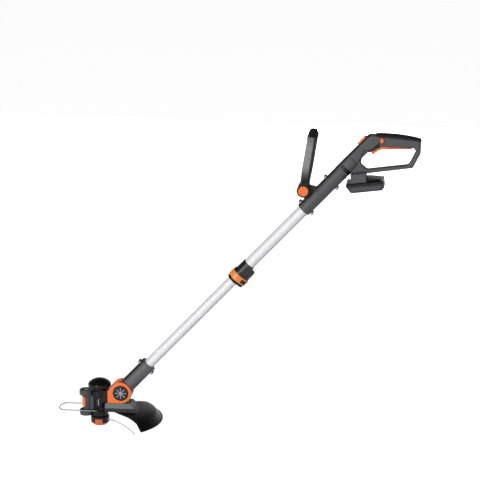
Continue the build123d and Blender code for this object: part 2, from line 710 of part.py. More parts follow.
def tilt_parts():
    circle = Pos(PIVOT_X, PIVOT_Z) * Circle(YOKE_R)
    foot = polygon(
        (YOKE_FOOT_X, SADDLE_TOP),
        (PIVOT_X, SADDLE_TOP),
        (PIVOT_X, PIVOT_Z + YOKE_SHOULDER),
        (YOKE_FOOT_X, PIVOT_Z + YOKE_SHOULDER),
    )
    yoke = rounded_plate(hull(circle, foot), YOKE_HALF, 2.5)
    slot_half = TONGUE_HALF + GAP
    web_end = YOKE_FOOT_X + YOKE_WEB
    slot_high = PIVOT_Z + YOKE_R + 1
    yoke -= block((web_end, -slot_half, SADDLE_TOP - 1), (PIVOT_X + YOKE_R + 1, slot_half, slot_high))
    yoke -= rod(DOME_R + 1, MOTOR_TOP - 2, DOME_TOP)
    at = (PIVOT_X, PIVOT_Z)
    pocket_floor = -YOKE_HALF + TILT_POCKET
    yoke -= crossbar(TILT_BUTTON_R + GAP, at, -YOKE_HALF, pocket_floor)
    pin_end = YOKE_HALF - 2
    yoke -= crossbar(PIVOT_PIN_R, at, pocket_floor, pin_end)
    pin = crossbar(PIVOT_PIN_R, at, pocket_floor, pin_end)

    bezel = crossbar(TILT_BEZEL_R, at, -YOKE_HALF - TILT_BEZEL_PROUD, -YOKE_HALF)
    bezel = fillet(bezel.faces().sort_by(Axis.Y)[0].edges(), 1.0)
    bezel -= crossbar(TILT_BUTTON_R + GAP, at, -YOKE_HALF - TILT_BEZEL_PROUD, -YOKE_HALF)
    face = -YOKE_HALF - TILT_BUTTON_PROUD
    button = crossbar(TILT_BUTTON_R, at, face, face + TILT_BUTTON_THICK)
    button -= crossbar(TILT_BUTTON_R - 2, at, face, face + 2.4)
    button += crossbar(4.5, at, face + 0.8, face + 2.4)
    for step in range(STAR_ARMS):
        arm = block((3, face + 0.8, -STAR_RIB / 2), (TILT_BUTTON_R - 1, face + 2.4, STAR_RIB / 2))
        button += Pos(PIVOT_X, 0, PIVOT_Z) * Rot(0, step * 360 / STAR_ARMS, 0) * arm
    return {"pivot_yoke": yoke, "pivot_pin": pin, "tilt_bezel": bezel, "tilt_button": button}


def neck_parts():
    barrel_start = YOKE_R + 1.5
    tongue = Circle(TONGUE_R) + Pos(0, barrel_start / 2 + 2) * Rectangle(2 * NECK_R - 2, barrel_start + 4)
    body = plate(tongue, TONGUE_HALF) + rod(NECK_R, barrel_start, NECK_LENGTH)
    rim = rod(NECK_R + NECK_RIM_PROUD, NECK_LENGTH - NECK_RIM, NECK_LENGTH)
    body += fillet(rim.edges().filter_by(GeomType.CIRCLE), 1.0)
    places = [(side * (NECK_R + 1.5), NECK_LUG_STATION) for side in (-1, 1)]
    eyes, drills = lug_pair(places, SCREW_R)
    body = body + eyes - drills
    socket = NECK_LENGTH - NECK_SOCKET
    body -= rod(LOWER_TUBE_R, socket, NECK_LENGTH)
    body -= crossbar(PIVOT_PIN_R + FIT, (0, 0), -TONGUE_HALF, TONGUE_HALF)
    screws = [cross_screw(place, -LUG_HALF, LUG_HALF - 1) for place in places]
    near, far = moulded_halves(body)
    return {
        "neck_shell_near": SHAFT * near,
        "neck_shell_far": SHAFT * far,
        "neck_screws": SHAFT * Compound(children=screws),
    }


# Shaft: two tubes that telescope and turn in each other


def shaft_parts():
    lower_bore = LOWER_TUBE_R - TUBE_WALL
    upper_bore = UPPER_TUBE_R - TUBE_WALL
    head_start = LOWER_TUBE_END + GAP
    bush = rod(upper_bore - FIT, head_start, head_start + BUSH_HEAD)
    bush += rod(lower_bore - FIT, LOWER_TUBE_END - BUSH_SPIGOT, head_start)
    bush -= rod(lower_bore - 4, LOWER_TUBE_END - BUSH_SPIGOT, head_start + BUSH_HEAD)
    return {
        "lower_tube": SHAFT * tube(LOWER_TUBE_R, lower_bore, NECK_LENGTH - NECK_SOCKET, LOWER_TUBE_END),
        "guide_bush": SHAFT * bush,
        "upper_tube": SHAFT * tube(UPPER_TUBE_R, upper_bore, RING_START, HOUSING_START + TUBE_SOCKET),
    }


def lobed(radius, lobe_x, lobe_r, start, end):
    """A collar section with a lobe to the underside of the shaft."""
    section = hull(Circle(radius), Pos(lobe_x, 0) * Circle(lobe_r))
    return extrude(Pos(0, 0, start) * section, end - start)


def collar_parts():
    body = rod(SLEEVE_R, SLEEVE_START, COLLAR_END)
    body = fillet(body.faces().sort_by(Axis.Z)[-1].edges(), 0.8)
    lobe = lobed(SLEEVE_R - 1, RING_LOBE_X, BODY_LOBE_R, SLEEVE_START, SLEEVE_START + BODY_LOBE_LENGTH)
    body += fillet(lobe.faces().sort_by(Axis.Z)[-1].edges(), 5.0)
    body += lobed(COLLAR_FLANGE_R, RING_LOBE_X, BODY_LOBE_R + 1, FLANGE_START, SLEEVE_START)
    body += rod(SPIGOT_R, COLLAR_START, FLANGE_START)
    body -= rod(UPPER_TUBE_R, RING_START, COLLAR_END)
    body -= rod(CLAMP_R, COLLAR_START, RING_START)

    ring = lobed(RING_R, RING_LOBE_X, RING_LOBE_R, RING_START + GAP, FLANGE_START - GAP)
    ring = fillet(ring.faces().sort_by(Axis.Z)[0].edges() + ring.faces().sort_by(Axis.Z)[-1].edges(), 1.5)
    ring -= rod(SPIGOT_R + FIT, RING_START, FLANGE_START)
    rim = lobed(RIM_R, RING_LOBE_X, RIM_LOBE_R, COLLAR_START, RING_START)
    rim = fillet(rim.faces().sort_by(Axis.Z)[0].edges(), 2.0) - rod(SPIGOT_R, COLLAR_START, RING_START)
    clamp = tube(CLAMP_R, LOWER_TUBE_R + GAP, COLLAR_START, RING_START)
    clamp -= block((-CLAMP_R - 1, -CLAMP_SLIT / 2, COLLAR_START), (0, CLAMP_SLIT / 2, RING_START))

    middle = SLEEVE_START + BODY_LOBE_LENGTH / 2 - 1
    facing = Pos(RING_LOBE_X, 0, middle) * Rot(0, 0, -COLLAR_BUTTON_ANGLE) * Rot(0, 90, 0)
    shape = RectangleRounded(COLLAR_BUTTON_LENGTH, COLLAR_BUTTON_WIDTH, COLLAR_BUTTON_WIDTH / 2 - 0.1)
    inner = BODY_LOBE_R - COLLAR_BUTTON_DEPTH
    pocket_floor = inner - COLLAR_BUTTON_TRAVEL - GAP
    pocket = extrude(Pos(0, 0, pocket_floor) * offset(shape, GAP), BODY_LOBE_R + 5 - pocket_floor)
    button = extrude(Pos(0, 0, inner) * shape, COLLAR_BUTTON_DEPTH + COLLAR_BUTTON_PROUD)
    button = fillet(button.faces().sort_by(Axis.Z)[-1].edges(), 1.0)
    return {
        "collar_body": SHAFT * (body - facing * pocket),
        "collar_ring": SHAFT * ring,
        "collar_rim": SHAFT * rim,
        "collar_clamp": SHAFT * clamp,
        "collar_button": SHAFT * (facing * button),
    }


# Rear housing, in its own frame


def loop_outline():
    """Outer edge of the column, grip and bow, before the hand opening is cut."""
    root = barrel_point(COLUMN_START, -BARREL_R)
    top = ThreePointArc(GRIP_FRONT, GRIP_CROWN, GRIP_REAR)
    rest = Polyline(GRIP_REAR, BOW_REAR, BOW_HEEL, BOW_FRONT, BOW_ROOT, root, GRIP_FRONT)
    face = make_face(top.edges() + rest.edges())
    for corner, radius in (
        (GRIP_FRONT, GRIP_FRONT_ROUND),
        (GRIP_REAR, GRIP_REAR_ROUND),
        (BOW_REAR, GRIP_FRONT_ROUND),
        (BOW_HEEL, BOW_HEEL_ROUND),
    ):
        spot = face.vertices().sort_by_distance((corner[0], corner[1], 0))[0]
        face = fillet(spot, radius)
    return face


def grip_outline():
    """The thick part of the loop: column and grip above the hand opening."""
    front = OPENING[0]
    region = polygon(
        barrel_point(COLUMN_START - 20, -2 * BARREL_R),
        barrel_point(COLUMN_START, BARREL_R - 6),
        (front[0] - 4, front[1] - 6),
        (front[0] + 10, GRIP_SPLIT),
        (GRIP_REAR[0] + 10, GRIP_SPLIT),
        (GRIP_REAR[0] + 10, GRIP_CROWN[1] + 20),
        (GRIP_FRONT[0] - 60, GRIP_CROWN[1] + 20),
    )
    return (loop_outline() - polygon(*OPENING)) & region


def housing_solid():
    barrel = rod(BARREL_R, 0, BARREL_LENGTH)
    barrel = fillet(barrel.faces().sort_by(Axis.Z)[-1].edges(), BARREL_ROUND)
    barrel = fillet(barrel.faces().sort_by(Axis.Z)[0].edges(), 1.5)
    body = BARREL * barrel
    body += rounded_plate(loop_outline() - polygon(*OPENING), BOW_HALF, BOW_ROUND)
    body += rounded_plate(grip_outline(), GRIP_HALF, GRIP_ROUND)

    ear = hull(
        Pos(*AUX_AT) * Circle(EAR_R),
        Pos(*barrel_point(EAR_STATION - EAR_FOOT / 2, -BARREL_R + 6)) * Circle(3),
        Pos(*barrel_point(EAR_STATION + EAR_FOOT, -BARREL_R + 6)) * Circle(3),
    )
    body += rounded_plate(ear, EAR_HALF, 1.5)
    dock = block((-DOCK_LENGTH / 2, -DOCK_HALF, GAP), (DOCK_LENGTH / 2, DOCK_HALF, DOCK_HEIGHT))
    dock = fillet(dock.edges().filter_by(Axis.Z) + dock.faces().sort_by(Axis.Z)[-1].edges(), DOCK_ROUND)
    return body + DOCK * dock


def housing_hollow():
    hollow = BARREL * rod(UPPER_TUBE_R, -1, TUBE_SOCKET)
    hollow += BARREL * rod(UPPER_TUBE_R - 2, 0, BARREL_LENGTH - HOUSING_WALL - 4)
    hollow += plate(offset(grip_outline(), -HOUSING_WALL), GRIP_HALF - HOUSING_WALL)
    neck = RAIL_NECK_HALF + GAP
    rail = RAIL_HALF + GAP
    start = DECK_START - TERMINAL_BLOCK - GAP
    end = DOCK_LENGTH / 2 + 1
    slot = block((start, -neck, 0), (end, neck, RAIL_LIP)) + block((start, -rail, RAIL_LIP), (end, rail, RAIL_TOP + GAP))
    floor = RAIL_TOP + GAP + DOCK_SHELF
    wall = DOCK_LENGTH / 2 - HOUSING_WALL
    side = DOCK_HALF - HOUSING_WALL
    room = block((-wall, -side, floor), (wall, side, floor + 2 * HOUSING_WALL))
    return hollow + DOCK * (slot + room)


def feed_place():
    """Frame on the front face of the column, with +Z out of the housing."""
    place = barrel_point(FEED_STATION, -BARREL_R)
    return Pos(place[0], 0, place[1]) * Rot(0, -GRIP_ANGLE, 0)


def trigger_outline(squeeze=0.0, margin=0.0):
    """Side view of the trigger, turned about its pin by a squeeze and grown by a margin."""
    outline = polygon(*TRIGGER_BLADE) + Pos(*TRIGGER_PIN) * Circle(TRIGGER_BOSS_R)
    if margin:
        outline = offset(outline, margin)
    return Pos(*TRIGGER_PIN) * Rot(0, 0, -squeeze) * Pos(-TRIGGER_PIN[0], -TRIGGER_PIN[1]) * outline


def trigger_room():
    """The space that the trigger sweeps, with clearance all round."""
    steps = [trigger_outline(TRIGGER_ANGLE * share, 2 * GAP) for share in (0.0, 0.5, 1.0)]
    return plate(steps[0] + steps[1] + steps[2], TRIGGER_HALF + GAP)


def feed_shape():
    return RectangleRounded(FEED_LENGTH, FEED_WIDTH, FEED_WIDTH / 2 - 0.5)


def lock_off_shape(margin=0.0):
    return Pos(*LOCK_OFF_AT) * Ellipse(LOCK_OFF_WIDTH / 2 + margin, LOCK_OFF_LENGTH / 2 + margin)


def grip_pad():
    """A rubber skin over the top of the grip, down both of its shoulders and round its rear end."""
    half = GRIP_HALF + PAD_SIDE
    front = PAD_START - 10
    low = PAD_REAR_LOW - 10
    zone = polygon((front, low), (GRIP_REAR[0] + 20, low), (GRIP_REAR[0] + 20, 260), (front, 260))
    grown = plate(offset(loop_outline(), PAD_THICK) & zone, half)
    rims = [edge for edge in grown.edges() if abs(abs(edge.center().Y) - half) < 0.001]
    rims = [edge for edge in rims if edge.center().X > front + 1 and edge.center().Z > low + 1]
    grown = fillet(rims, GRIP_ROUND + PAD_SIDE)
    region = polygon((PAD_START, PAD_FRONT_LOW), (PAD_START + 6, 260), (360, 260), (360, PAD_REAR_LOW))
    return grown & plate(region, 2 * GRIP_HALF)


def housing_parts():
    places = [barrel_point(station, side * LUG_OFFSET) for station in LUG_STATIONS for side in (-1, 1)]
    eyes, drills = lug_pair(places, SCREW_R)
    solid = housing_solid()
    pad = grip_pad() - solid - plate(lock_off_shape(2.0), 2 * GRIP_HALF)
    band = BARREL * tube(BARREL_R + BAND_PROUD, BARREL_R - BAND_DEPTH, BAND_STATION, BAND_STATION + BAND_WIDTH)
    room = trigger_room()
    bezel = rounded_plate(polygon(*BEZEL_CORNERS), BEZEL_HALF, 1.5)

    body = solid + eyes - housing_hollow() - drills
    body -= plate(lock_off_shape(GAP), GRIP_HALF + 1)
    feed_hole = Pos(0, 0, -2 * HOUSING_WALL) * offset(feed_shape(), GAP)
    body -= feed_place() * extrude(feed_hole, 4 * HOUSING_WALL)
    body = body - bezel - room - band
    pin_half = GRIP_HALF - HOUSING_WALL + 1.5
    pin = crossbar(TRIGGER_PIN_R, TRIGGER_PIN, -pin_half, pin_half)
    body -= pin
    body -= crossbar(AUX_BOLT_R + FIT, AUX_AT, -EAR_HALF - 1, EAR_HALF + 1)

    switch_half = GRIP_HALF - HOUSING_WALL
    switch = Rectangle(SWITCH_LENGTH, SWITCH_HEIGHT)
    switch = plate(Pos(*SWITCH_AT) * switch, switch_half)
    screws = [cross_screw(place, -LUG_HALF, LUG_HALF - 1) for place in places]
    near, far = moulded_halves(body)
    fixed = {
        "rear_housing_near": near,
        "rear_housing_far": far,
        "housing_screws": Compound(children=screws),
        "housing_band": band,
        "grip_pad": pad,
        "trigger_bezel": bezel - room,
        "trigger_pin": pin,
        "trigger_switch": switch,
    }
    return {name: HANDLE * shape for name, shape in {**fixed, **control_parts(), **dock_parts()}.items()}


def control_parts():
    """Trigger, lock-off bolt and feed button."""
    trigger = rounded_plate(trigger_outline(), TRIGGER_HALF, 1.5)
    trigger -= crossbar(TRIGGER_PIN_R + FIT, TRIGGER_PIN, -TRIGGER_HALF, TRIGGER_HALF)

    end = GRIP_HALF + LOCK_OFF_PROUD
    lock = plate(lock_off_shape(), end)
    lock = fillet([edge for edge in lock.edges() if abs(abs(edge.center().Y) - end) < 0.001], 1.0)
    inner = GRIP_HALF - HOUSING_WALL - LOCK_OFF_TRAVEL
    lock -= plate(lock_off_shape(1.0), inner)
    lock += crossbar(LOCK_OFF_WAIST_R, LOCK_OFF_AT, -inner, inner)

    feed = extrude(Pos(0, 0, -HOUSING_WALL - GAP) * feed_shape(), HOUSING_WALL + GAP + FEED_PROUD)
    feed = fillet(feed.faces().sort_by(Axis.Z)[-1].edges(), 2.0)
    feed += extrude(Pos(0, 0, -HOUSING_WALL - GAP - FEED_FLANGE) * offset(feed_shape(), 1.2), FEED_FLANGE)
    return {"trigger": trigger, "lock_off_button": lock, "feed_button": feed_place() * feed}


# Battery and its dock, in the frame of the rails


def dock_parts():
    blade_start = DECK_START - GAP
    blades = [
        block((blade_start, y - BLADE_THICK / 2, RAIL_LIP + 2), (blade_start + BLADE_REACH, y + BLADE_THICK / 2, 12))
        for y in blade_rows()
    ]
    start = blade_start - TERMINAL_BLOCK
    terminal = block((start, -RAIL_NECK_HALF, RAIL_LIP), (blade_start, RAIL_NECK_HALF, RAIL_TOP + GAP))
    floor = RAIL_TOP + GAP + DOCK_SHELF
    wall = DOCK_LENGTH / 2 - HOUSING_WALL
    side = DOCK_HALF - HOUSING_WALL
    board = block((-wall, -side, floor), (wall, side, floor + BOARD_THICK))
    board -= BARREL_IN_DOCK * rod(BARREL_R, 0, BARREL_LENGTH)
    parts = {"terminal_block": terminal + blades, "control_board": board, **battery_parts()}
    return {name: DOCK * shape for name, shape in parts.items()}


def blade_rows():
    return [(row - (BLADE_COUNT - 1) / 2) * BLADE_PITCH for row in range(BLADE_COUNT)]


def battery_parts():
    outline = polygon(
        (BATTERY_FRONT, 0, BATTERY_ROUND),
        (BATTERY_REAR, 0, BATTERY_ROUND),
        (BATTERY_REAR, -BATTERY_HEIGHT + BATTERY_REAR_SLOPE, BATTERY_ROUND),
        (BATTERY_REAR - BATTERY_REAR_SLOPE, -BATTERY_HEIGHT, BATTERY_ROUND),
        (BATTERY_FRONT + BATTERY_FRONT_SLOPE, -BATTERY_HEIGHT, 2 * BATTERY_ROUND),
        (BATTERY_FRONT, -BATTERY_SEAM, BATTERY_ROUND),
    )
    case = rounded_plate(outline, BATTERY_HALF, BATTERY_ROUND)
    case -= plate(offset(outline, -BATTERY_WALL), BATTERY_HALF - BATTERY_WALL)
    wide = BATTERY_HALF + 1
    seam = block((BATTERY_FRONT - 1, -wide, -BATTERY_SEAM), (BATTERY_REAR + 1, wide, 1))
    lower = case - seam
    upper = case & seam

    rail_end = DOCK_LENGTH / 2
    deck = block((DECK_START, -RAIL_NECK_HALF, 0), (rail_end, RAIL_NECK_HALF, RAIL_TOP))
    deck += block((DECK_START, -RAIL_HALF, RAIL_LIP + GAP), (rail_end, RAIL_HALF, RAIL_TOP))
    tail = polygon((rail_end, 0), (DECK_END, 0), (DECK_END, DECK_TAIL), (rail_end + 8, DECK_HEIGHT), (rail_end, DECK_HEIGHT))
    upper += deck + rounded_plate(tail, RAIL_NECK_HALF, 1.0)
    slot_end = DECK_START + BLADE_REACH + 1
    terminals = []
    for y in blade_rows():
        upper -= block((DECK_START, y - 0.8, RAIL_LIP + 1.4), (slot_end, y + 0.8, RAIL_TOP))
        strip = block((DECK_START + 1, y - 1.6, 1), (slot_end - 1, y + 1.6, RAIL_LIP + 1.4))
        upper -= strip
        terminals.append(strip)

    middle = -BATTERY_SEAM - RELEASE_HEIGHT / 2 - 1
    facing = Pos(BATTERY_REAR, 0, middle) * Rot(0, 90, 0)
    shape = RectangleRounded(RELEASE_HEIGHT, RELEASE_WIDTH, RELEASE_HEIGHT / 2 - 1)
    inner = RELEASE_PROUD - RELEASE_DEPTH
    button = extrude(Pos(0, 0, inner) * shape, RELEASE_DEPTH)
    button = fillet(button.faces().sort_by(Axis.Z)[-1].edges(), 0.8)
    lower -= facing * extrude(Pos(0, 0, inner - RELEASE_TRAVEL) * offset(shape, GAP), RELEASE_TRAVEL + RELEASE_DEPTH)

    cells = []
    for row in range(CELL_COUNT):
        x = CELL_MIDDLE + (row - (CELL_COUNT - 1) / 2) * CELL_PITCH
        z = -BATTERY_HEIGHT + BATTERY_WALL + CELL_R
        cells.append(crossbar(CELL_R, (x, z), -CELL_LENGTH / 2, CELL_LENGTH / 2))
    return {
        "battery_case_lower": lower,
        "battery_case_upper": upper,
        "battery_cells": Compound(children=cells),
        "battery_terminals": Compound(children=terminals),
        "battery_release_button": facing * button,
    }


# Front handle, in a frame at its pivot that leans with it


def loop_sweep(points, radii, outset):
    """The loop's rounded section carried along a path in the YZ plane."""
    path = FilletPolyline(*[(0, y, z) for y, z in points], radius=radii)
    width = AUX_BAR_WIDTH + 2 * outset
    depth = AUX_BAR_DEPTH + 2 * outset
    section = RectangleRounded(width, depth, AUX_BAR_ROUND + outset)
    start = Plane(origin=(0, points[0][0], points[0][1]), x_dir=(1, 0, 0), z_dir=(0, 0, 1))
    return sweep(start * section, path=path)


def front_handle_parts():
    root = (AUX_BOSS_IN + AUX_BOSS_OUT) / 2
    left = [(-root, 8), (-root, AUX_FLARE_BASE), (-AUX_ARM_HALF, AUX_FLARE_TOP), (-AUX_ARM_HALF, AUX_HEIGHT)]
    right = [(-y, z) for y, z in reversed(left)]
    radii = [AUX_FLARE_BEND, AUX_FLARE_BEND, AUX_CORNER, AUX_CORNER, AUX_FLARE_BEND, AUX_FLARE_BEND]
    frame = loop_sweep(left + right, radii, 0.0)
    for side in (-1, 1):
        ends = sorted((side * AUX_BOSS_IN, side * AUX_BOSS_OUT))
        boss = crossbar(AUX_BOSS_R, (0, 0), *ends)
        frame += fillet(boss.edges().filter_by(GeomType.CIRCLE), 1.2)
    pocket_floor = -AUX_BOSS_OUT + AUX_POCKET
    frame -= crossbar(AUX_BUTTON_R + GAP, (0, 0), -AUX_BOSS_OUT, pocket_floor)
    bolt = crossbar(AUX_BOLT_R, (0, 0), pocket_floor, AUX_BOSS_OUT - 2)
    frame -= bolt

    low = AUX_HEIGHT - AUX_GRIP_DROP
    corners = [(-AUX_ARM_HALF, low), (-AUX_ARM_HALF, AUX_HEIGHT), (AUX_ARM_HALF, AUX_HEIGHT), (AUX_ARM_HALF, low)]
    grip = loop_sweep(corners, [AUX_CORNER, AUX_CORNER], AUX_GRIP_WALL) - frame

    face = -AUX_BOSS_OUT - AUX_BUTTON_PROUD
    button = crossbar(AUX_BUTTON_R, (0, 0), face, face + AUX_BUTTON_THICK)
    for step in range(AUX_BUTTON_TEETH):
        angle = step * 360 / AUX_BUTTON_TEETH
        notch = crossbar(1.6, (AUX_BUTTON_R + 0.5, 0), face, face + AUX_BUTTON_THICK)
        button -= Rot(0, angle, 0) * notch
    button -= crossbar(AUX_BUTTON_R - 5, (0, 0), face, face + 1.2)
    parts = {"aux_frame": frame, "aux_grip": grip, "aux_pivot_bolt": bolt, "aux_lock_button": button}
    return {name: HANDLE * (AUX * shape) for name, shape in parts.items()}


def main():
    parts = {}
    parts.update(spool_parts())
    parts.update(motor_parts())
    parts.update(wheel_parts())
    parts["wire_guard"] = wire_guard()
    parts.update(guard_parts())
    parts.update(tilt_parts())
    parts.update(neck_parts())
    parts.update(shaft_parts())
    parts.update(collar_parts())
    parts.update(housing_parts())
    parts.update(front_handle_parts())
    os.makedirs("parts", exist_ok=True)
    for name, shape in parts.items():
        export_step(shape, f"parts/{name}.step")


main()
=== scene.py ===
import json
from collections import namedtuple

import bmesh
import bpy
import numpy as np
from bpy.props import FloatProperty, FloatVectorProperty, IntProperty, PointerProperty
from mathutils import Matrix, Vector


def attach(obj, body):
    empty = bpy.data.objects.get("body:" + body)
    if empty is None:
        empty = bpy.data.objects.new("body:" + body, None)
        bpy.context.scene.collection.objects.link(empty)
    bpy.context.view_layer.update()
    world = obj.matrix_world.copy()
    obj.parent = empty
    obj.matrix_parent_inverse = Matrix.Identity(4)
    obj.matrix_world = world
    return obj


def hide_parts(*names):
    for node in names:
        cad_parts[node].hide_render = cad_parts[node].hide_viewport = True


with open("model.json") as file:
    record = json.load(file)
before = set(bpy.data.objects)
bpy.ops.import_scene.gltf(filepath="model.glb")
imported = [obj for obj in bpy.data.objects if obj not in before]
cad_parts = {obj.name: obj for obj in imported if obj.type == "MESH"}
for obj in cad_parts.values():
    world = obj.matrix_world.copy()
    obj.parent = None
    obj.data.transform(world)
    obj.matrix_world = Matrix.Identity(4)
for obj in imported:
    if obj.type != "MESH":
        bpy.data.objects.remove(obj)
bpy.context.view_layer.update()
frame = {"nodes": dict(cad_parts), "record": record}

bl_info = {
    "name": "String trimmer looks",
    "version": (1, 0, 0),
    "blender": (4, 5, 0),
    "location": "3D View > Sidebar > Trimmer",
    "description": "Finishes, soft grips, nylon line and studio for a battery string trimmer",
    "category": "Object",
}

MM = 0.001

# Frames of the part, in millimetres and radians
SHAFT_ANGLE = np.radians(46.5)
PIVOT = np.array((66.0, 0.0, 103.0))
ALONG = np.array((np.cos(SHAFT_ANGLE), 0.0, np.sin(SHAFT_ANGLE)))
UNDER = np.array((np.sin(SHAFT_ANGLE), 0.0, -np.cos(SHAFT_ANGLE)))
ACROSS = np.array((0.0, 1.0, 0.0))
HOUSING_START = 767.0
HANDLE_ORIGIN = PIVOT + ALONG * HOUSING_START
EAR_STATION = 44.0
EAR_OFFSET = -40.5
AUX_ORIGIN = HANDLE_ORIGIN + ALONG * EAR_STATION + UNDER * EAR_OFFSET
AUX_LEAN = np.radians(9.0)
DOCK_ORIGIN = HANDLE_ORIGIN + np.array((157.0, 0.0, 88.0))
DOCK_TILT = np.radians(7.0)


def srgb(red, green, blue):
    """Linear colour for 8-bit screen values: the sRGB curve taken backwards."""
    level = np.array((red, green, blue)) / 255.0
    linear = np.where(level <= 0.04045, level / 12.92, ((level + 0.055) / 1.055) ** 2.4)
    return tuple(float(value) for value in linear)


def length_property(name, description, default):
    return FloatProperty(name=name, description=description, default=default, unit="LENGTH", precision=5)


def colour_property(name, description, default):
    return FloatVectorProperty(
        name=name, description=description, default=default, size=3, min=0.0, max=1.0, subtype="COLOR"
    )


class TrimmerColours(bpy.types.PropertyGroup):
    """Colours of the finishes."""

    charcoal: colour_property("Charcoal", "Grained moulding of the housing", srgb(84, 85, 86))
    ash: colour_property("Ash", "Paler grained moulding of the neck", srgb(98, 99, 100))
    pewter: colour_property("Pewter", "Palest moulding, on the front handle's arms", srgb(136, 137, 138))
    # Painted shade: darkens the tops of housing and neck, the strip round their mid-plane, and the foot
    # and back of the front handle's arms
    painted_shade: colour_property("Painted shade", "Spine of the mouldings, foot of the front arms", srgb(32, 32, 33))
    black: colour_property("Black", "Satin moulding of head and guard", srgb(15, 15, 16))
    # Painted sheen: the glossy black wheels and column get this grey to stand in for their highlights
    wheel: colour_property("Wheel", "Glossy wheels and their column", srgb(66, 67, 68))
    # Painted light: the wedge's black moulding is shown grey as if lit, and turns black lower down as
    # painted shade
    wedge_painted_light: colour_property("Slate", "Wedge on the guard", srgb(104, 114, 112))
    orange: colour_property("Orange", "Yoke, buttons and clip", srgb(246, 118, 48))
    amber: colour_property("Amber", "Collar ring", srgb(247, 146, 62))
    scarlet: colour_property("Scarlet", "Spool cap, trigger and release button", srgb(226, 84, 48))
    rubber: colour_property("Rubber", "Soft grips", srgb(30, 30, 31))
    rust: colour_property("Rust", "Press tabs of the spool cap", srgb(206, 104, 52))
    button: colour_property("Dark button", "Dark grey buttons and panels", srgb(50, 51, 54))
    petal: colour_property("Petal", "Ribs of the tilt button", srgb(158, 166, 182))
    silver: colour_property("Silver", "Satin tubes", srgb(232, 233, 234))
    steel: colour_property("Steel", "Pins and bearings", srgb(190, 191, 193))
    zinc: colour_property("Zinc", "Plated screws", srgb(150, 151, 153))
    wire: colour_property("Wire", "Plant guard", srgb(128, 130, 132))
    nylon: colour_property("Nylon", "Cutting line", srgb(124, 5, 5))
    wrap: colour_property("Cell wrap", "Shrink wrap of the cells", srgb(88, 136, 180))
    board: colour_property("Board", "Circuit board", srgb(48, 110, 72))


class TrimmerSizes(bpy.types.PropertyGroup):
    """Sizes of the pieces that are made here."""

    line_radius: length_property("Line radius", "Half the nylon line's diameter", 0.85 * MM)
    rib_pitch: length_property("Rib pitch", "Step of the ribs on the front grip", 4.6 * MM)
    rib_depth: length_property("Rib depth", "Depth of the grooves on the front grip", 0.9 * MM)
    pad_pitch: length_property("Pad pitch", "Step of the grooves on the rear grip pad", 3.4 * MM)
    pad_depth: length_property("Pad depth", "Depth of the grooves on the rear grip pad", 0.35 * MM)
    screw_head: length_property("Screw head", "Radius of the pan heads", 3.4 * MM)
    recess_depth: length_property("Recess depth", "Depth of the cross recess in a screw", 1.2 * MM)
    thumb_ribs: IntProperty(
        name="Thumb ribs", description="Ribs on the collar ring's pad", default=5, min=2
    )


# Meshes from arrays


def placed(local, origin, x_axis, z_axis):
    """World points in metres: origin plus each local coordinate times its axis."""
    return (origin + local[..., :1] * x_axis + local[..., 1:2] * ACROSS + local[..., 2:] * z_axis) * MM


def on_shaft(local):
    return placed(local, PIVOT, UNDER, ALONG)


def on_handle(local):
    return placed(local, HANDLE_ORIGIN, np.array((1.0, 0.0, 0.0)), np.array((0.0, 0.0, 1.0)))


def on_front_handle(local):
    x_axis = np.array((np.cos(AUX_LEAN), 0.0, -np.sin(AUX_LEAN)))
    z_axis = np.array((np.sin(AUX_LEAN), 0.0, np.cos(AUX_LEAN)))
    return placed(local, AUX_ORIGIN, x_axis, z_axis)


def on_dock(local):
    x_axis = np.array((np.cos(DOCK_TILT), 0.0, np.sin(DOCK_TILT)))
    z_axis = np.array((-np.sin(DOCK_TILT), 0.0, np.cos(DOCK_TILT)))
    return placed(local, DOCK_ORIGIN, x_axis, z_axis)


def grid_quads(rows, columns, wrap_rows=False, wrap_columns=False):
    """Corner numbers of a grid's quads, where rows or columns may close on themselves."""
    first, second = np.meshgrid(
        np.arange(rows if wrap_rows else rows - 1),
        np.arange(columns if wrap_columns else columns - 1),
        indexing="ij",
    )
    after, beside = (first + 1) % rows, (second + 1) % columns
    rows_of_corners = (first, after, after, first)
    columns_of_corners = (second, second, beside, beside)
    corners = np.stack(rows_of_corners, -1) * columns + np.stack(columns_of_corners, -1)
    return corners.reshape(-1, 4)


def slab_quads(rows, columns):
    """Quads of two grids, top then bottom, sewn together round their border."""
    top = grid_quads(rows, columns)
    bottom = top[:, ::-1] + rows * columns
    place = np.arange(rows * columns).reshape(rows, columns)
    border = np.concatenate((place[0, :-1], place[:-1, -1], place[-1, :0:-1], place[:0:-1, 0]))
    following = np.roll(border, -1)
    sides = np.stack((border, border + rows * columns, following + rows * columns, following), -1)
    return np.concatenate((top, bottom, sides))


def new_piece(name, points, quads, finish, body):
    """An object whose mesh holds these points and quads, welded and facing outwards, riding on a body."""
    mesh = bpy.data.meshes.new(name)
    mesh.from_pydata(points.reshape(-1, 3).tolist(), [], quads.tolist())
    work = bmesh.new()
    work.from_mesh(mesh)
    bmesh.ops.remove_doubles(work, verts=work.verts, dist=1e-6)
    bmesh.ops.recalc_face_normals(work, faces=work.faces)
    work.to_mesh(mesh)
    work.free()
    mesh.shade_smooth()
    mesh.materials.append(bpy.data.materials[finish])
    piece = bpy.data.objects.new(name, mesh)
    bpy.context.scene.collection.objects.link(piece)
    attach(piece, body)
    return piece


def smooth_step(low, high, value):
    """Rises from 0 at low to 1 at high on the cubic 3t^2 - 2t^3."""
    share = np.clip((value - low) / (high - low), 0.0, 1.0)
    return share * share * (3.0 - 2.0 * share)


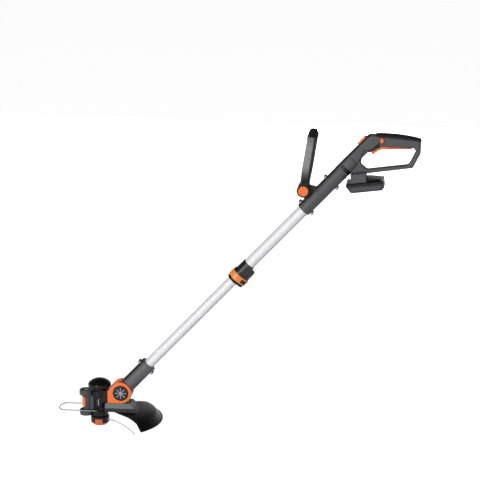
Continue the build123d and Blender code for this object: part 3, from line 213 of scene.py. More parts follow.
def rounded_section(width, depth, radius, count):
    """Points and outward normals of a rounded rectangle: quarter circles joined by straight runs."""
    straight_x, straight_y = width / 2 - radius, depth / 2 - radius
    quarter = np.linspace(0.0, np.pi / 2, count)
    centres = np.array(((1, 1), (-1, 1), (-1, -1), (1, -1))) * (straight_x, straight_y)
    angles = quarter[None, :] + np.arange(4)[:, None] * np.pi / 2
    corners = centres[:, None, :] + radius * np.stack((np.cos(angles), np.sin(angles)), -1)
    normals = np.stack((np.cos(angles), np.sin(angles)), -1)
    return corners.reshape(-1, 2), normals.reshape(-1, 2)


# Shader groups


def tree_links(tree):
    """Functions that add a node with its values and link one node's output to another's input."""

    def add(kind, **values):
        node = tree.nodes.new(kind)
        for key, value in values.items():
            if key.startswith("in_"):
                node.inputs[int(key[3:])].default_value = value
            else:
                setattr(node, key, value)
        return node

    def link(source, leaving, target, entering):
        tree.links.new(source.outputs[leaving], target.inputs[entering])

    return add, link


def give(node, values):
    """Sets a node's inputs by their labels."""
    for label, value in values.items():
        node.inputs[label].default_value = value


def noise(add, detail, rough=0.5, scale=5.0):
    node = add("ShaderNodeTexNoise")
    give(node, {"Detail": detail, "Roughness": rough, "Scale": scale})
    return node


def ranged(add, low, high, start=0.0, end=1.0):
    """A map range that takes low to start and high to end, and holds these beyond."""
    return add("ShaderNodeMapRange", in_1=low, in_2=high, in_3=start, in_4=end)


def shader_group(name, inputs, outputs):
    """An empty node group with number inputs and outputs of the given kinds."""
    tree = bpy.data.node_groups.new(name, "ShaderNodeTree")
    for label, default in inputs:
        socket = tree.interface.new_socket(label, in_out="INPUT", socket_type="NodeSocketFloat")
        socket.default_value = default
    for label, kind in outputs:
        tree.interface.new_socket(label, in_out="OUTPUT", socket_type=kind)
    add, link = tree_links(tree)
    return add, link, add("NodeGroupInput"), add("NodeGroupOutput")


def make_grain_group():
    """Spark-eroded mould grain: two sizes of noise added into a height, and a slow mottle."""
    add, link, entry, exit_node = shader_group(
        "Mould grain",
        (("Grain scale", 1400.0), ("Mottle scale", 22.0)),
        (("Height", "NodeSocketFloat"), ("Mottle", "NodeSocketFloat")),
    )
    place = add("ShaderNodeTexCoord")
    fine = noise(add, detail=3.0, rough=0.65)
    coarse = noise(add, detail=2.0)
    half = add("ShaderNodeMath", operation="MULTIPLY", in_1=0.35)
    total = add("ShaderNodeMath", operation="MULTIPLY_ADD", in_1=0.6)
    slow = noise(add, detail=4.0, rough=0.6)
    for texture in (fine, coarse, slow):
        link(place, "Object", texture, "Vector")
    link(entry, "Grain scale", fine, "Scale")
    link(entry, "Grain scale", half, 0)
    link(half, 0, coarse, "Scale")
    link(entry, "Mottle scale", slow, "Scale")
    link(coarse, "Fac", total, 0)
    link(fine, "Fac", total, 2)
    link(total, 0, exit_node, "Height")
    link(slow, "Fac", exit_node, "Mottle")


def make_edge_group():
    """Rounded edge normal, and a wear mask where that normal leaves the flat one, broken up by noise."""
    add, link, entry, exit_node = shader_group(
        "Edge wear",
        (("Radius", 0.0006), ("Amount", 1.0)),
        (("Wear", "NodeSocketFloat"), ("Normal", "NodeSocketVector")),
    )
    bevel = add("ShaderNodeBevel", samples=6)
    geometry = add("ShaderNodeNewGeometry")
    facing = add("ShaderNodeVectorMath", operation="DOT_PRODUCT")
    turned = ranged(add, 0.995, 0.86)
    place = add("ShaderNodeTexCoord")
    chips = noise(add, detail=5.0, rough=0.7, scale=260.0)
    broken = ranged(add, 0.42, 0.62)
    worn = add("ShaderNodeMath", operation="MULTIPLY")
    scaled = add("ShaderNodeMath", operation="MULTIPLY", use_clamp=True)
    link(entry, "Radius", bevel, "Radius")
    link(bevel, "Normal", facing, 0)
    link(geometry, "Normal", facing, 1)
    link(facing, "Value", turned, "Value")
    link(place, "Object", chips, "Vector")
    link(chips, "Fac", broken, "Value")
    link(turned, "Result", worn, 0)
    link(broken, "Result", worn, 1)
    link(worn, 0, scaled, 0)
    link(entry, "Amount", scaled, 1)
    link(scaled, 0, exit_node, "Wear")
    link(bevel, "Normal", exit_node, "Normal")


def make_handling_group():
    """Handling marks: thin crossing scratches and cloudy patches of polish, as two masks."""
    add, link, entry, exit_node = shader_group(
        "Handling",
        (("Scratch scale", 90.0), ("Cloud scale", 14.0)),
        (("Scratches", "NodeSocketFloat"), ("Clouds", "NodeSocketFloat")),
    )
    place = add("ShaderNodeTexCoord")
    stretch = add("ShaderNodeMapping")
    give(stretch, {"Rotation": (0.4, 0.9, 0.3), "Scale": (1.0, 0.06, 1.0)})
    thin = noise(add, detail=1.0)
    cut = ranged(add, 0.66, 0.72)
    cloud = noise(add, detail=3.0, rough=0.55)
    level = ranged(add, 0.35, 0.65)
    link(place, "Object", stretch, "Vector")
    link(stretch, "Vector", thin, "Vector")
    link(place, "Object", cloud, "Vector")
    link(entry, "Scratch scale", thin, "Scale")
    link(entry, "Cloud scale", cloud, "Scale")
    link(thin, "Fac", cut, "Value")
    link(cloud, "Fac", level, "Value")
    link(cut, "Result", exit_node, "Scratches")
    link(level, "Result", exit_node, "Clouds")


def make_drawn_group():
    """Draw lines of metal stock: noise stretched along the shaft, and two darker lines at a set angle
    round it, painted shade along the tube's underside.
    """
    add, link, entry, exit_node = shader_group(
        "Drawn lines",
        (("Line scale", 900.0), ("Die angle", 0.62), ("Die width", 0.10)),
        (("Height", "NodeSocketFloat"), ("Tone", "NodeSocketFloat"), ("Die line", "NodeSocketFloat")),
    )
    place = add("ShaderNodeTexCoord")
    turn = add("ShaderNodeMapping", vector_type="TEXTURE")
    give(turn, {"Location": tuple(PIVOT * MM), "Rotation": (0.0, float(np.pi / 2 - SHAFT_ANGLE), 0.0)})
    squeeze = add("ShaderNodeMapping")
    give(squeeze, {"Scale": (1.0, 1.0, 0.004)})
    lines = noise(add, detail=3.0, rough=0.6)
    slow = noise(add, detail=3.0, scale=30.0)
    split = add("ShaderNodeSeparateXYZ")
    side = add("ShaderNodeMath", operation="ABSOLUTE")
    angle = add("ShaderNodeMath", operation="ARCTAN2")
    away = add("ShaderNodeMath", operation="SUBTRACT")
    off = add("ShaderNodeMath", operation="ABSOLUTE")
    share = add("ShaderNodeMath", operation="DIVIDE")
    line = ranged(add, 1.0, 0.3)
    link(place, "Object", turn, "Vector")
    link(turn, "Vector", squeeze, "Vector")
    link(turn, "Vector", split, 0)
    link(squeeze, "Vector", lines, "Vector")
    link(squeeze, "Vector", slow, "Vector")
    link(entry, "Line scale", lines, "Scale")
    link(split, "Y", side, 0)
    link(side, 0, angle, 0)
    link(split, "X", angle, 1)
    link(angle, 0, away, 0)
    link(entry, "Die angle", away, 1)
    link(away, 0, off, 0)
    link(off, 0, share, 0)
    link(entry, "Die width", share, 1)
    link(share, 0, line, "Value")
    link(lines, "Fac", exit_node, "Height")
    link(slow, "Fac", exit_node, "Tone")
    link(line, "Result", exit_node, "Die line")


def make_fade_group():
    """A fade along a direction: the place's reach that way, taken from 0 at From to 1 at To."""
    add, link, entry, exit_node = shader_group(
        "Fade along",
        (("Along x", 0.0), ("Along y", 0.0), ("Along z", 1.0), ("From", 0.0), ("To", 1.0)),
        (("Share", "NodeSocketFloat"),),
    )
    place = add("ShaderNodeTexCoord")
    way = add("ShaderNodeCombineXYZ")
    reach = add("ShaderNodeVectorMath", operation="DOT_PRODUCT")
    share = add("ShaderNodeMapRange", interpolation_type="SMOOTHSTEP")
    for number, label in enumerate(("Along x", "Along y", "Along z")):
        link(entry, label, way, number)
    link(place, "Object", reach, 0)
    link(way, 0, reach, 1)
    link(reach, "Value", share, "Value")
    link(entry, "From", share, "From Min")
    link(entry, "To", share, "From Max")
    link(share, "Result", exit_node, "Share")


# Materials

# Share by which a moulding's colour varies in slow patches
MOTTLE = 0.10


def new_material(name):
    material = bpy.data.materials.new(name)
    material.use_nodes = True
    tree = material.node_tree
    add, link = tree_links(tree)
    shader = next(node for node in tree.nodes if node.type == "BSDF_PRINCIPLED")
    return add, link, shader


def placed_group(add, name, **values):
    node = add("ShaderNodeGroup", node_tree=bpy.data.node_groups[name])
    for key, value in values.items():
        node.inputs[key.replace("_", " ").capitalize()].default_value = value
    return node


def tinted(add, link, colour, share, source, mask="Mottle"):
    """Base colour pulled from a dark to a light tone of one colour by a node's mask."""
    ramp = add("ShaderNodeMix", data_type="RGBA")
    dark, light = np.array(colour) * (1 - share), np.minimum(np.array(colour) * (1 + share), 1.0)
    give(ramp, {"A": (*dark, 1.0), "B": (*light, 1.0)})
    link(source, mask, ramp, "Factor")
    return ramp


def turned_to(add, link, base, colour, source, mask):
    """The base turned to a plain colour where a node's mask says so."""
    mix = add("ShaderNodeMix", data_type="RGBA")
    give(mix, {"B": (*colour, 1.0)})
    link(source, mask, mix, "Factor")
    link(base, "Result", mix, "A")
    return mix


def bumped(add, link, shader, source, strength, distance):
    """The shader's normal, bumped by a node's first height or value."""
    bump = add("ShaderNodeBump")
    give(bump, {"Strength": strength, "Distance": distance})
    link(source, 0, bump, "Height")
    link(bump, "Normal", shader, "Normal")
    return bump


# A moulding's surface: roughness, scale and depth of its grain, edge wear, specular level and coat
Skin = namedtuple("Skin", "rough grain depth wear specular coat", defaults=(0.0,))


def moulded(name, colour, skin, worn_colour, fades=()):
    """A moulding: grained, a little mottled, polished by handling, and paler where edges are rubbed.

    Each fade is a colour, a direction, and the places along it, in millimetres, where it starts and ends;
    most fades here lay painted shade, the trigger's lays a painted highlight, the rest a second tone.
    """
    add, link, shader = new_material(name)
    grain = placed_group(add, "Mould grain", grain_scale=skin.grain)
    marks = placed_group(add, "Handling")
    edge = placed_group(add, "Edge wear", amount=skin.wear)
    base = tinted(add, link, colour, MOTTLE, grain)
    for other, way, start, end in fades:
        fade = placed_group(add, "Fade along")
        for socket, value in zip(fade.inputs, (*way, start * MM, end * MM)):
            socket.default_value = value
        turned = add("ShaderNodeMix", data_type="RGBA")
        link(fade, "Share", turned, "Factor")
        link(base, "Result", turned, "A")
        link(tinted(add, link, other, MOTTLE, grain), "Result", turned, "B")
        base = turned
    rubbed = turned_to(add, link, base, worn_colour, edge, "Wear")
    link(rubbed, "Result", shader, "Base Color")
    polish = ranged(add, 0.0, 1.0, skin.rough + 0.05, skin.rough - 0.07)
    scored = add("ShaderNodeMath", operation="MULTIPLY_ADD", in_1=-0.10)
    link(marks, "Clouds", polish, "Value")
    link(marks, "Scratches", scored, 0)
    link(polish, "Result", scored, 2)
    link(scored, 0, shader, "Roughness")
    bump = bumped(add, link, shader, grain, 0.5, skin.depth)
    link(edge, "Normal", bump, "Normal")
    give(shader, {"Specular IOR Level": skin.specular, "Coat Weight": skin.coat, "Coat Roughness": 0.2})


def rubber(name, colour):
    """Soft overmould: pebbled by small cells, dusty in the hollows, matt."""
    add, link, shader = new_material(name)
    place = add("ShaderNodeTexCoord")
    cells = add("ShaderNodeTexVoronoi", feature="SMOOTH_F1")
    give(cells, {"Scale": 900.0})
    skin = placed_group(add, "Mould grain", grain_scale=2600.0, mottle_scale=35.0)
    link(place, "Object", cells, "Vector")
    base = tinted(add, link, colour, 0.22, skin)
    hollow = ranged(add, 0.55, 0.95, 0.0, 0.35)
    link(cells, "Distance", hollow, "Value")
    dusty = turned_to(add, link, base, np.array(colour) * 1.9, hollow, "Result")
    link(dusty, "Result", shader, "Base Color")
    rough = ranged(add, 0.0, 1.0, 0.62, 0.8)
    link(skin, "Mottle", rough, "Value")
    link(rough, "Result", shader, "Roughness")
    height = add("ShaderNodeMath", operation="MULTIPLY_ADD", in_1=-1.0)
    link(cells, "Distance", height, 0)
    link(skin, "Height", height, 2)
    bumped(add, link, shader, height, 0.6, 0.00025)
    give(shader, {"Specular IOR Level": 0.3})


def drawn_metal(name, colour, metallic, rough, depth, shade_line_dark=0.0, specular=0.5):
    """Drawn stock: fine lines along it vary its tone, gloss and height, and the lines of painted shade are
    darker.
    """
    add, link, shader = new_material(name)
    lines = placed_group(add, "Drawn lines")
    marks = placed_group(add, "Handling", scratch_scale=140.0)
    base = tinted(add, link, colour, 0.02, lines, "Tone")
    shade_lined = turned_to(add, link, base, np.array(colour) * (1.0 - shade_line_dark), lines, "Die line")
    link(shade_lined, "Result", shader, "Base Color")
    gloss = ranged(add, 0.3, 0.7, rough - 0.03, rough + 0.03)
    scored = add("ShaderNodeMath", operation="MULTIPLY_ADD", in_1=0.12)
    link(lines, "Height", gloss, "Value")
    link(marks, "Scratches", scored, 0)
    link(gloss, "Result", scored, 2)
    link(scored, 0, shader, "Roughness")
    bumped(add, link, shader, lines, 0.15, depth)
    give(shader, {"Metallic": metallic, "Specular IOR Level": specular})


def extruded_nylon(name, colour):
    """Nylon line: glossy, faintly streaked, and light passes into it."""
    add, link, shader = new_material(name)
    skin = placed_group(add, "Mould grain", grain_scale=500.0, mottle_scale=180.0)
    link(tinted(add, link, colour, 0.15, skin), "Result", shader, "Base Color")
    rough = ranged(add, 0.3, 0.7, 0.22, 0.36)
    link(skin, "Mottle", rough, "Value")
    link(rough, "Result", shader, "Roughness")
    give(shader, {"Specular IOR Level": 0.25, "Subsurface Weight": 0.1, "Subsurface Scale": 1.0})
    give(shader, {"Subsurface Radius": (0.0012, 0.0004, 0.0003)})


# Finish of each of the record's slots
FINISHES = {
    "housing_grey": "Charcoal moulding",
    "black_plastic": "Satin black moulding",
    "orange_plastic": "Orange moulding",
    "soft_rubber": "Grip rubber",
    "dark_button": "Dark button",
    "shaft_aluminium": "Satin tube",
    "steel": "Bright steel",
    "cell_wrap": "Cell wrap",
    "board_green": "Circuit board",
    "nylon_line": "Red nylon",
}
# Nodes that differ from their slot's finish
OWN_FINISHES = {
    "rear_housing_far": "Charcoal moulding, far",
    "aux_frame": "Pewter moulding",
    "neck_shell_near": "Ash moulding",
    "neck_shell_far": "Ash moulding, far",
    "collar_body": "Gloss black moulding",
    "wheel_upper": "Wheel moulding",
    "wheel_lower": "Wheel moulding",
    "wheel_column": "Wheel moulding",
    "battery_case_lower": "Battery moulding",
    "guard_saddle": "Slate moulding",
    "collar_ring": "Amber moulding",
    "spool_cap": "Spool cap moulding",
    "trigger": "Trigger moulding",
    "battery_release_button": "Scarlet moulding",
    "tilt_button": "Star button",
    "wire_guard": "Dull wire",
}
SCREW_FINISH = "Plated screws"


class TRIMMER_OT_stage(bpy.types.Operator):
    """Camera at the photograph's angle, pale floor, white surround and soft lamps"""

    bl_idname = "trimmer.stage"
    bl_label = "Studio"

    CAMERA_PLACE = (0.96278, -5.22537, 1.87668)
    CAMERA_AIM = (0.41357, 0.0, 0.56667)
    LENS = 142.5
    FLOOR_HALF = 30.0
    # Name, place, aim, width, height, power, and whether it is mirrored
    LAMPS = (
        ("Key lamp", (-1.7, -4.3, 2.3), (0.45, 0.0, 0.45), 1.4, 1.6, 124.0, True),
        ("Fill lamp", (1.5, -5.0, 1.2), (0.5, 0.0, 0.4), 2.0, 2.0, 40.0, True),
        ("Back lamp", (0.9, 4.8, 0.7), (0.45, 0.0, 0.4), 2.6, 1.2, 110.0, False),
        ("Low panel", (-1.2, -2.9, 0.24), (-0.02, 0.0, 0.08), 0.4, 0.44, 24.0, True),
    )
    # Strength of the surround at the horizon and overhead, as light and as it is mirrored
    GLOW = (0.14, 0.10)
    MIRRORED = (1.0, 0.06)
    FLOOR_GLOW = 0.9
    FLOOR_COLOUR = (0.6, 0.6, 0.6, 1.0)

    def execute(self, context):
        scene = context.scene
        scene.view_settings.view_transform = "Standard"
        data = bpy.data.cameras.new("Camera")
        data.lens = self.LENS
        data.sensor_width = 36.0
        data.clip_end = 100.0
        camera = bpy.data.objects.new("Camera", data)
        camera.location = self.CAMERA_PLACE
        aim = Vector(self.CAMERA_AIM) - Vector(self.CAMERA_PLACE)
        camera.rotation_euler = aim.to_track_quat("-Z", "Y").to_euler()
        scene.collection.objects.link(camera)
        scene.camera = camera
        for name, place, target, width, height, power, mirrored in self.LAMPS:
            lamp = bpy.data.lights.new(name, "AREA")
            lamp.shape = "RECTANGLE"
            lamp.size = width
            lamp.size_y = height
            lamp.energy = power
            holder = bpy.data.objects.new(name, lamp)
            holder.location = place
            holder.visible_glossy = mirrored
            holder.rotation_euler = (Vector(target) - Vector(place)).to_track_quat("-Z", "Y").to_euler()
            scene.collection.objects.link(holder)
        self.make_surround(scene)
        self.make_floor(scene)
        return {"FINISHED"}

    def make_surround(self, scene):
        """White where it is seen; as light and in reflections it fades from the horizon to the zenith."""
        world = bpy.data.worlds.new("White surround")
        world.use_nodes = True
        scene.world = world
        tree = world.node_tree
        add, link = tree_links(tree)
        plain = next(node for node in tree.nodes if node.type == "BACKGROUND")
        give(plain, {"Color": (1.0, 1.0, 1.0, 1.0)})
        place = add("ShaderNodeTexCoord")
        split = add("ShaderNodeSeparateXYZ")
        path = add("ShaderNodeLightPath")
        glow = ranged(add, -0.1, 0.8, *self.GLOW)
        mirrored = ranged(add, 0.0, 0.5, *self.MIRRORED)
        either = add("ShaderNodeMix", data_type="FLOAT")
        seen = add("ShaderNodeMath", operation="MAXIMUM")
        level = add("ShaderNodeMix", data_type="FLOAT")
        give(level, {"B": 1.0})
        link(place, "Generated", split, 0)
        link(split, "Z", glow, "Value")
        link(split, "Z", mirrored, "Value")
        link(path, "Is Glossy Ray", either, "Factor")
        link(glow, "Result", either, "A")
        link(mirrored, "Result", either, "B")
        link(path, "Is Camera Ray", seen, 0)
        link(path, "Is Transmission Ray", seen, 1)
        link(seen, 0, level, "Factor")
        link(either, "Result", level, "A")
        link(level, "Result", plain, "Strength")

    def make_floor(self, scene):
        """A wide pale floor, lifted to white where it is seen or mirrored, that keeps a soft shadow."""
        half = self.FLOOR_HALF
        mesh = bpy.data.meshes.new("Floor")
        corners = [(-half, -half, 0), (half, -half, 0), (half, half, 0), (-half, half, 0)]
        mesh.from_pydata(corners, [], [(0, 1, 2, 3)])
        floor = bpy.data.objects.new("Floor", mesh)
        scene.collection.objects.link(floor)
        add, link, shader = new_material("Pale floor")
        tree = shader.id_data
        tree.nodes.remove(shader)
        path = add("ShaderNodeLightPath")
        first = add("ShaderNodeMath", operation="MAXIMUM")
        second = add("ShaderNodeMath", operation="MAXIMUM")
        share = add("ShaderNodeMath", operation="MULTIPLY", in_1=self.FLOOR_GLOW)
        matt = add("ShaderNodeBsdfDiffuse")
        give(matt, {"Color": self.FLOOR_COLOUR})
        glow = add("ShaderNodeEmission")
        give(glow, {"Color": (1.0, 1.0, 1.0, 1.0)})
        total = add("ShaderNodeAddShader")
        out = next(node for node in tree.nodes if node.type == "OUTPUT_MATERIAL")
        link(path, "Is Camera Ray", first, 0)
        link(path, "Is Glossy Ray", first, 1)
        link(first, 0, second, 0)
        link(path, "Is Transmission Ray", second, 1)
        link(second, 0, share, 0)
        link(share, 0, glow, "Strength")
        link(matt, 0, total, 0)
        link(glow, 0, total, 1)
        link(total, 0, out, "Surface")
        mesh.materials.append(bpy.data.materials["Pale floor"])


class TRIMMER_OT_finishes(bpy.types.Operator):
    """Shader groups, the finishes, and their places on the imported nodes"""

    bl_idname = "trimmer.finishes"
    bl_label = "Finishes"

    GRAINED = Skin(0.44, 1500.0, 0.00010, 0.3, 0.2)
    ARM = Skin(0.42, 1500.0, 0.00010, 0.3, 0.2)
    CASE = Skin(0.42, 1500.0, 0.00010, 0.3, 0.25)
    SATIN = Skin(0.36, 1900.0, 0.00008, 0.4, 0.2)
    WEDGE = Skin(0.40, 1900.0, 0.00006, 0.3, 0.15)
    # Gloss black has the strongest edge wear: its pale edges are partly rubbing and partly a painted
    # highlight on the collar's rims
    GLOSS = Skin(0.32, 2400.0, 0.00003, 0.5, 0.45)
    TYRE = Skin(0.36, 2400.0, 0.00003, 0.4, 0.3)
    BRIGHT = Skin(0.33, 2100.0, 0.00005, 0.4, 0.4, 0.1)
    BLADE = Skin(0.33, 2100.0, 0.00005, 0.4, 0.4)
    STAR = Skin(0.30, 2100.0, 0.00004, 0.3, 0.4)
    BUTTON = Skin(0.28, 2100.0, 0.00004, 0.4, 0.5)
    WRAP = Skin(0.25, 2500.0, 0.00003, 0.2, 0.5)
    BOARD = Skin(0.40, 2500.0, 0.00005, 0.2, 0.5)
    RUBBED_PALE = (0.22, 0.22, 0.22)
    RUBBED_DULL = (0.10, 0.10, 0.10)
    # Where fades start and end, in millimetres along their direction
    # Painted shade: the first span darkens the tops of housing and neck, the next the strip round their
    # mid-plane, top and underside
    TOP_SHADE = (14.0, 18.0)
    MIDPLANE_SHADE = (-10.0, -8.2)
    # Painted shade on the front handle's arms: darker towards their foot at the pivot boss, and along
    # their back
    ARM_FOOT_SHADE = (-84.0, -36.0)
    ARM_BACK_SHADE = (4.0, 10.0)
    # Painted shade: where the wedge turns to black towards its foot
    WEDGE_SHADE = (-59.0, -57.0)
    CAP_TABS = (8.0, 9.5)
    # Painted highlight: the trigger turns orange towards its front, for light glowing through it
    TRIGGER_HIGHLIGHT = (-836.0, -812.0)
    STAR_RIBS = (25.6, 26.0)
    STAR_RIM = (26.8, 27.2)

    def execute(self, context):
        colours = context.scene.trimmer_colours
        for make_group in (
            make_grain_group,
            make_edge_group,
            make_handling_group,
            make_drawn_group,
            make_fade_group,
        ):
            make_group()
        self.make_greys(colours)
        self.make_blacks(colours)
        self.make_brights(colours)
        self.make_others(colours)
        for row in frame["record"]["subparts"]:
            node = frame["nodes"][row["node"]]
            finish = OWN_FINISHES.get(row["node"], FINISHES[row["material_slot"]])
            node.data.materials.clear()
            node.data.materials.append(bpy.data.materials[finish])
        return {"FINISHED"}

    def make_greys(self, colours):
        """Housing and neck with painted shade along the top and round the mid-plane; arms with painted
        shade at foot and back.
        """
        axis = float(np.dot(PIVOT, -UNDER))
        # Painted shade along the top of housing and neck, and round their mid-plane on top and underneath
        top_shade = (colours.painted_shade, -UNDER, axis + self.TOP_SHADE[0], axis + self.TOP_SHADE[1])
        for name, colour, side in (
            (FINISHES["housing_grey"], colours.charcoal, 1.0),
            ("Charcoal moulding, far", colours.charcoal, -1.0),
            ("Ash moulding", colours.ash, 1.0),
            ("Ash moulding, far", colours.ash, -1.0),
        ):
            midplane_shade = (colours.painted_shade, (0.0, side, 0.0), *self.MIDPLANE_SHADE)
            moulded(name, colour, self.GRAINED, self.RUBBED_PALE, (top_shade, midplane_shade))
        # Painted shade: the arms darken towards their foot and along their back side
        down = np.array((-np.sin(AUX_LEAN), 0.0, -np.cos(AUX_LEAN)))
        back = np.array((np.cos(AUX_LEAN), 0.0, -np.sin(AUX_LEAN)))
        foot, middle = float(AUX_ORIGIN @ down), float(AUX_ORIGIN @ back)
        foot_shade = (colours.painted_shade, down, foot + self.ARM_FOOT_SHADE[0], foot + self.ARM_FOOT_SHADE[1])
        back_shade = (colours.painted_shade, back, middle + self.ARM_BACK_SHADE[0], middle + self.ARM_BACK_SHADE[1])
        moulded("Pewter moulding", colours.pewter, self.ARM, self.RUBBED_PALE, (foot_shade, back_shade))

    def make_blacks(self, colours):
        moulded(FINISHES["black_plastic"], colours.black, self.SATIN, self.RUBBED_DULL)
        # Pale edges here: partly wear, partly a painted highlight on the collar's rims
        moulded("Gloss black moulding", colours.black, self.GLOSS, self.RUBBED_PALE)
        # Painted sheen: grey in place of the black wheels' highlights
        moulded("Wheel moulding", colours.wheel, self.TYRE, self.RUBBED_PALE)
        # The wedge: grey as painted light on its upper face, fading to black below as painted shade
        wedge_shade = (colours.black, (0.0, 0.0, -1.0), *self.WEDGE_SHADE)
        moulded("Slate moulding", colours.wedge_painted_light, self.WEDGE, self.RUBBED_PALE, (wedge_shade,))
        near = (0.0, -1.0, 0.0)
        star = ((colours.petal, near, *self.STAR_RIBS), (colours.black, near, *self.STAR_RIM))
        moulded("Star button", colours.black, self.STAR, self.RUBBED_PALE, star)
        moulded(FINISHES["dark_button"], colours.button, self.BUTTON, self.RUBBED_PALE)
        moulded("Battery moulding", colours.button, self.CASE, self.RUBBED_PALE)

    def make_brights(self, colours):
        for name, colour in (
            (FINISHES["orange_plastic"], colours.orange),
            ("Amber moulding", colours.amber),
            ("Scarlet moulding", colours.scarlet),
        ):
            worn = np.minimum(np.array(colour) * 1.15 + 0.05, 1.0)
            moulded(name, colour, self.BRIGHT, worn)
        tabs = (colours.rust, (0.0, 0.0, 1.0), *self.CAP_TABS)
        moulded("Spool cap moulding", colours.scarlet, self.BLADE, colours.orange, (tabs,))
        # Painted highlight: orange towards the trigger's front, standing in for light through the plastic
        front = (colours.orange, (-1.0, 0.0, 0.0), *self.TRIGGER_HIGHLIGHT)
        moulded("Trigger moulding", colours.scarlet, self.BLADE, colours.orange, (front,))

    def make_others(self, colours):
        moulded(FINISHES["cell_wrap"], colours.wrap, self.WRAP, self.RUBBED_PALE)
        moulded(FINISHES["board_green"], colours.board, self.BOARD, self.RUBBED_PALE)
        rubber(FINISHES["soft_rubber"], colours.rubber)
        tube = FINISHES["shaft_aluminium"]
        # The tube's two darker lines are painted shade along its underside, one on each side
        drawn_metal(tube, colours.silver, metallic=0.1, rough=0.5, depth=0.000006, shade_line_dark=0.3, specular=0.25)
        drawn_metal(FINISHES["steel"], colours.steel, metallic=1.0, rough=0.3, depth=0.00003)
        drawn_metal(SCREW_FINISH, colours.zinc, metallic=0.6, rough=0.36, depth=0.00002)
        drawn_metal("Dull wire", colours.wire, metallic=1.0, rough=0.34, depth=0.00002)
        extruded_nylon(FINISHES["nylon_line"], colours.nylon)


class TRIMMER_OT_line(bpy.types.Operator):
    """Nylon line: a smooth curve led by the route's points, from the eyelet out under the guard"""

    bl_idname = "trimmer.line"
    bl_label = "Nylon line"

    EYELET_ANGLE = np.radians(-20.0)
    EYELET_FACE = 27.8
    EXIT_RUN = 16.0
    HEIGHT = 17.0
    ROUTE = ((60.0, -31.0, 15.6), (83.5, -53.5, 12.2), (102.5, -74.0, 8.0), (117.5, -92.5, 3.2))
    LENGTH = 0.124

    def execute(self, context):
        radius = context.scene.trimmer_sizes.line_radius
        outward = np.array((np.cos(self.EYELET_ANGLE), np.sin(self.EYELET_ANGLE), 0.0))
        level = np.array((0.0, 0.0, self.HEIGHT))
        start = outward * self.EYELET_FACE + level
        points = np.array((start, start + outward * self.EXIT_RUN, *self.ROUTE)) * MM
        curve = bpy.data.curves.new("nylon_line", "CURVE")
        curve.dimensions = "3D"
        curve.bevel_depth = radius
        curve.bevel_resolution = 5
        curve.use_fill_caps = True
        curve.resolution_u = 20
        spline = curve.splines.new("NURBS")
        spline.points.add(len(points) - 1)
        spline.points.foreach_set("co", np.column_stack((points, np.ones(len(points)))).ravel())
        spline.order_u = 3
        spline.use_endpoint_u = True
        curve.materials.append(bpy.data.materials[FINISHES["nylon_line"]])
        line = bpy.data.objects.new("nylon_line", curve)
        context.scene.collection.objects.link(line)
        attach(line, "spool")
        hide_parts("trimmer_line")
        return {"FINISHED"}


class TRIMMER_OT_front_grip(bpy.types.Operator):
    """Ribbed rubber sleeve round the top of the front handle"""

    bl_idname = "trimmer.front_grip"
    bl_label = "Front grip"

    ARM_HALF = 56.0
    HEIGHT = 156.0
    GRIP_HALF = 41.0
    CROWN = 12.0
    CORNER = 30.0
    WIDTH = 26.0
    DEPTH = 16.0
    ROUND = 7.5
    WALL = 1.6
    SEAT = 0.05
    CUFF = 7.0
    LIP = 1.2
    DOME_SPAN = 0.98
    STEPS_A_RIB = 10
    STEPS_A_CORNER = 14

    def loop_path(self, spacing):
        """Even steps along the crossbar, a straight run between two arcs, with normals out of the loop."""
        across = 2 * (self.ARM_HALF - self.CORNER)
        turn_end = np.arcsin((self.GRIP_HALF - across / 2) / self.CORNER)
        arc = self.CORNER * turn_end
        total = across + 2 * arc
        way = np.linspace(0.0, total, int(total / spacing))
        turn = (np.clip(way - arc, -arc, 0.0) + np.clip(way - arc - across, 0.0, arc)) / self.CORNER
        y = np.clip(way - arc, 0.0, across) - across / 2 + self.CORNER * np.sin(turn)
        z = self.HEIGHT - self.CORNER + self.CORNER * np.cos(turn)
        normal = np.stack((np.zeros_like(way), np.sin(turn), np.cos(turn)), -1)
        return way, np.stack((np.zeros_like(way), y, z), -1), normal

    def section(self, wall):
        """Points and normals of the bar's rounded section, with a wall added all round."""
        width, depth = self.WIDTH + 2 * wall, self.DEPTH + 2 * wall
        return rounded_section(width, depth, self.ROUND + wall, self.STEPS_A_CORNER)

    def execute(self, context):
        sizes = context.scene.trimmer_sizes
        pitch, depth = sizes.rib_pitch / MM, sizes.rib_depth / MM
        way, path, normal = self.loop_path(pitch / self.STEPS_A_RIB)
        from_end = np.minimum(way, way[-1] - way)
        # Grooves: the tops of squared sine waves between the two plain cuffs, cut into the wall
        inside = smooth_step(self.CUFF, self.CUFF + pitch / 4, from_end)
        wave = np.sin(np.pi * (way - self.CUFF) / pitch) ** 2
        groove = depth * inside * np.clip(1.6 * wave - 0.6, 0.0, 1.0)
        lip = smooth_step(0.0, self.LIP, from_end) - 1.0
        section, out = self.section(self.WALL)
        outer = section[None] + out[None] * (lip - groove)[:, None, None]
        # Dome: a half ellipse across the top of the bar, rising from both ends to the middle
        crown = self.CROWN * smooth_step(0.0, way[-1] / 2, from_end)
        share = np.abs(section) / section.max(0)
        dome = np.sqrt(1.0 - self.DOME_SPAN * share[:, 0] ** 2) * smooth_step(0.0, 1.0, share[:, 1])
        outer[..., 1] += crown[:, None] * dome * (section[:, 1] > 0.0)
        inner = np.broadcast_to(self.section(self.SEAT)[0], outer.shape)
        x_axis = np.array((1.0, 0.0, 0.0))

        def carried(shape):
            return path[:, None] + shape[..., :1] * x_axis + shape[..., 1:] * normal[:, None]

        shell = np.concatenate((carried(outer), carried(inner)[::-1]))
        points = on_front_handle(shell)
        quads = grid_quads(*points.shape[:2], wrap_rows=True, wrap_columns=True)
        finish = FINISHES["soft_rubber"]
        grip = new_piece("front_grip_sleeve", points, quads, finish, "front_handle")
        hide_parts("aux_grip")
        return {"FINISHED"}


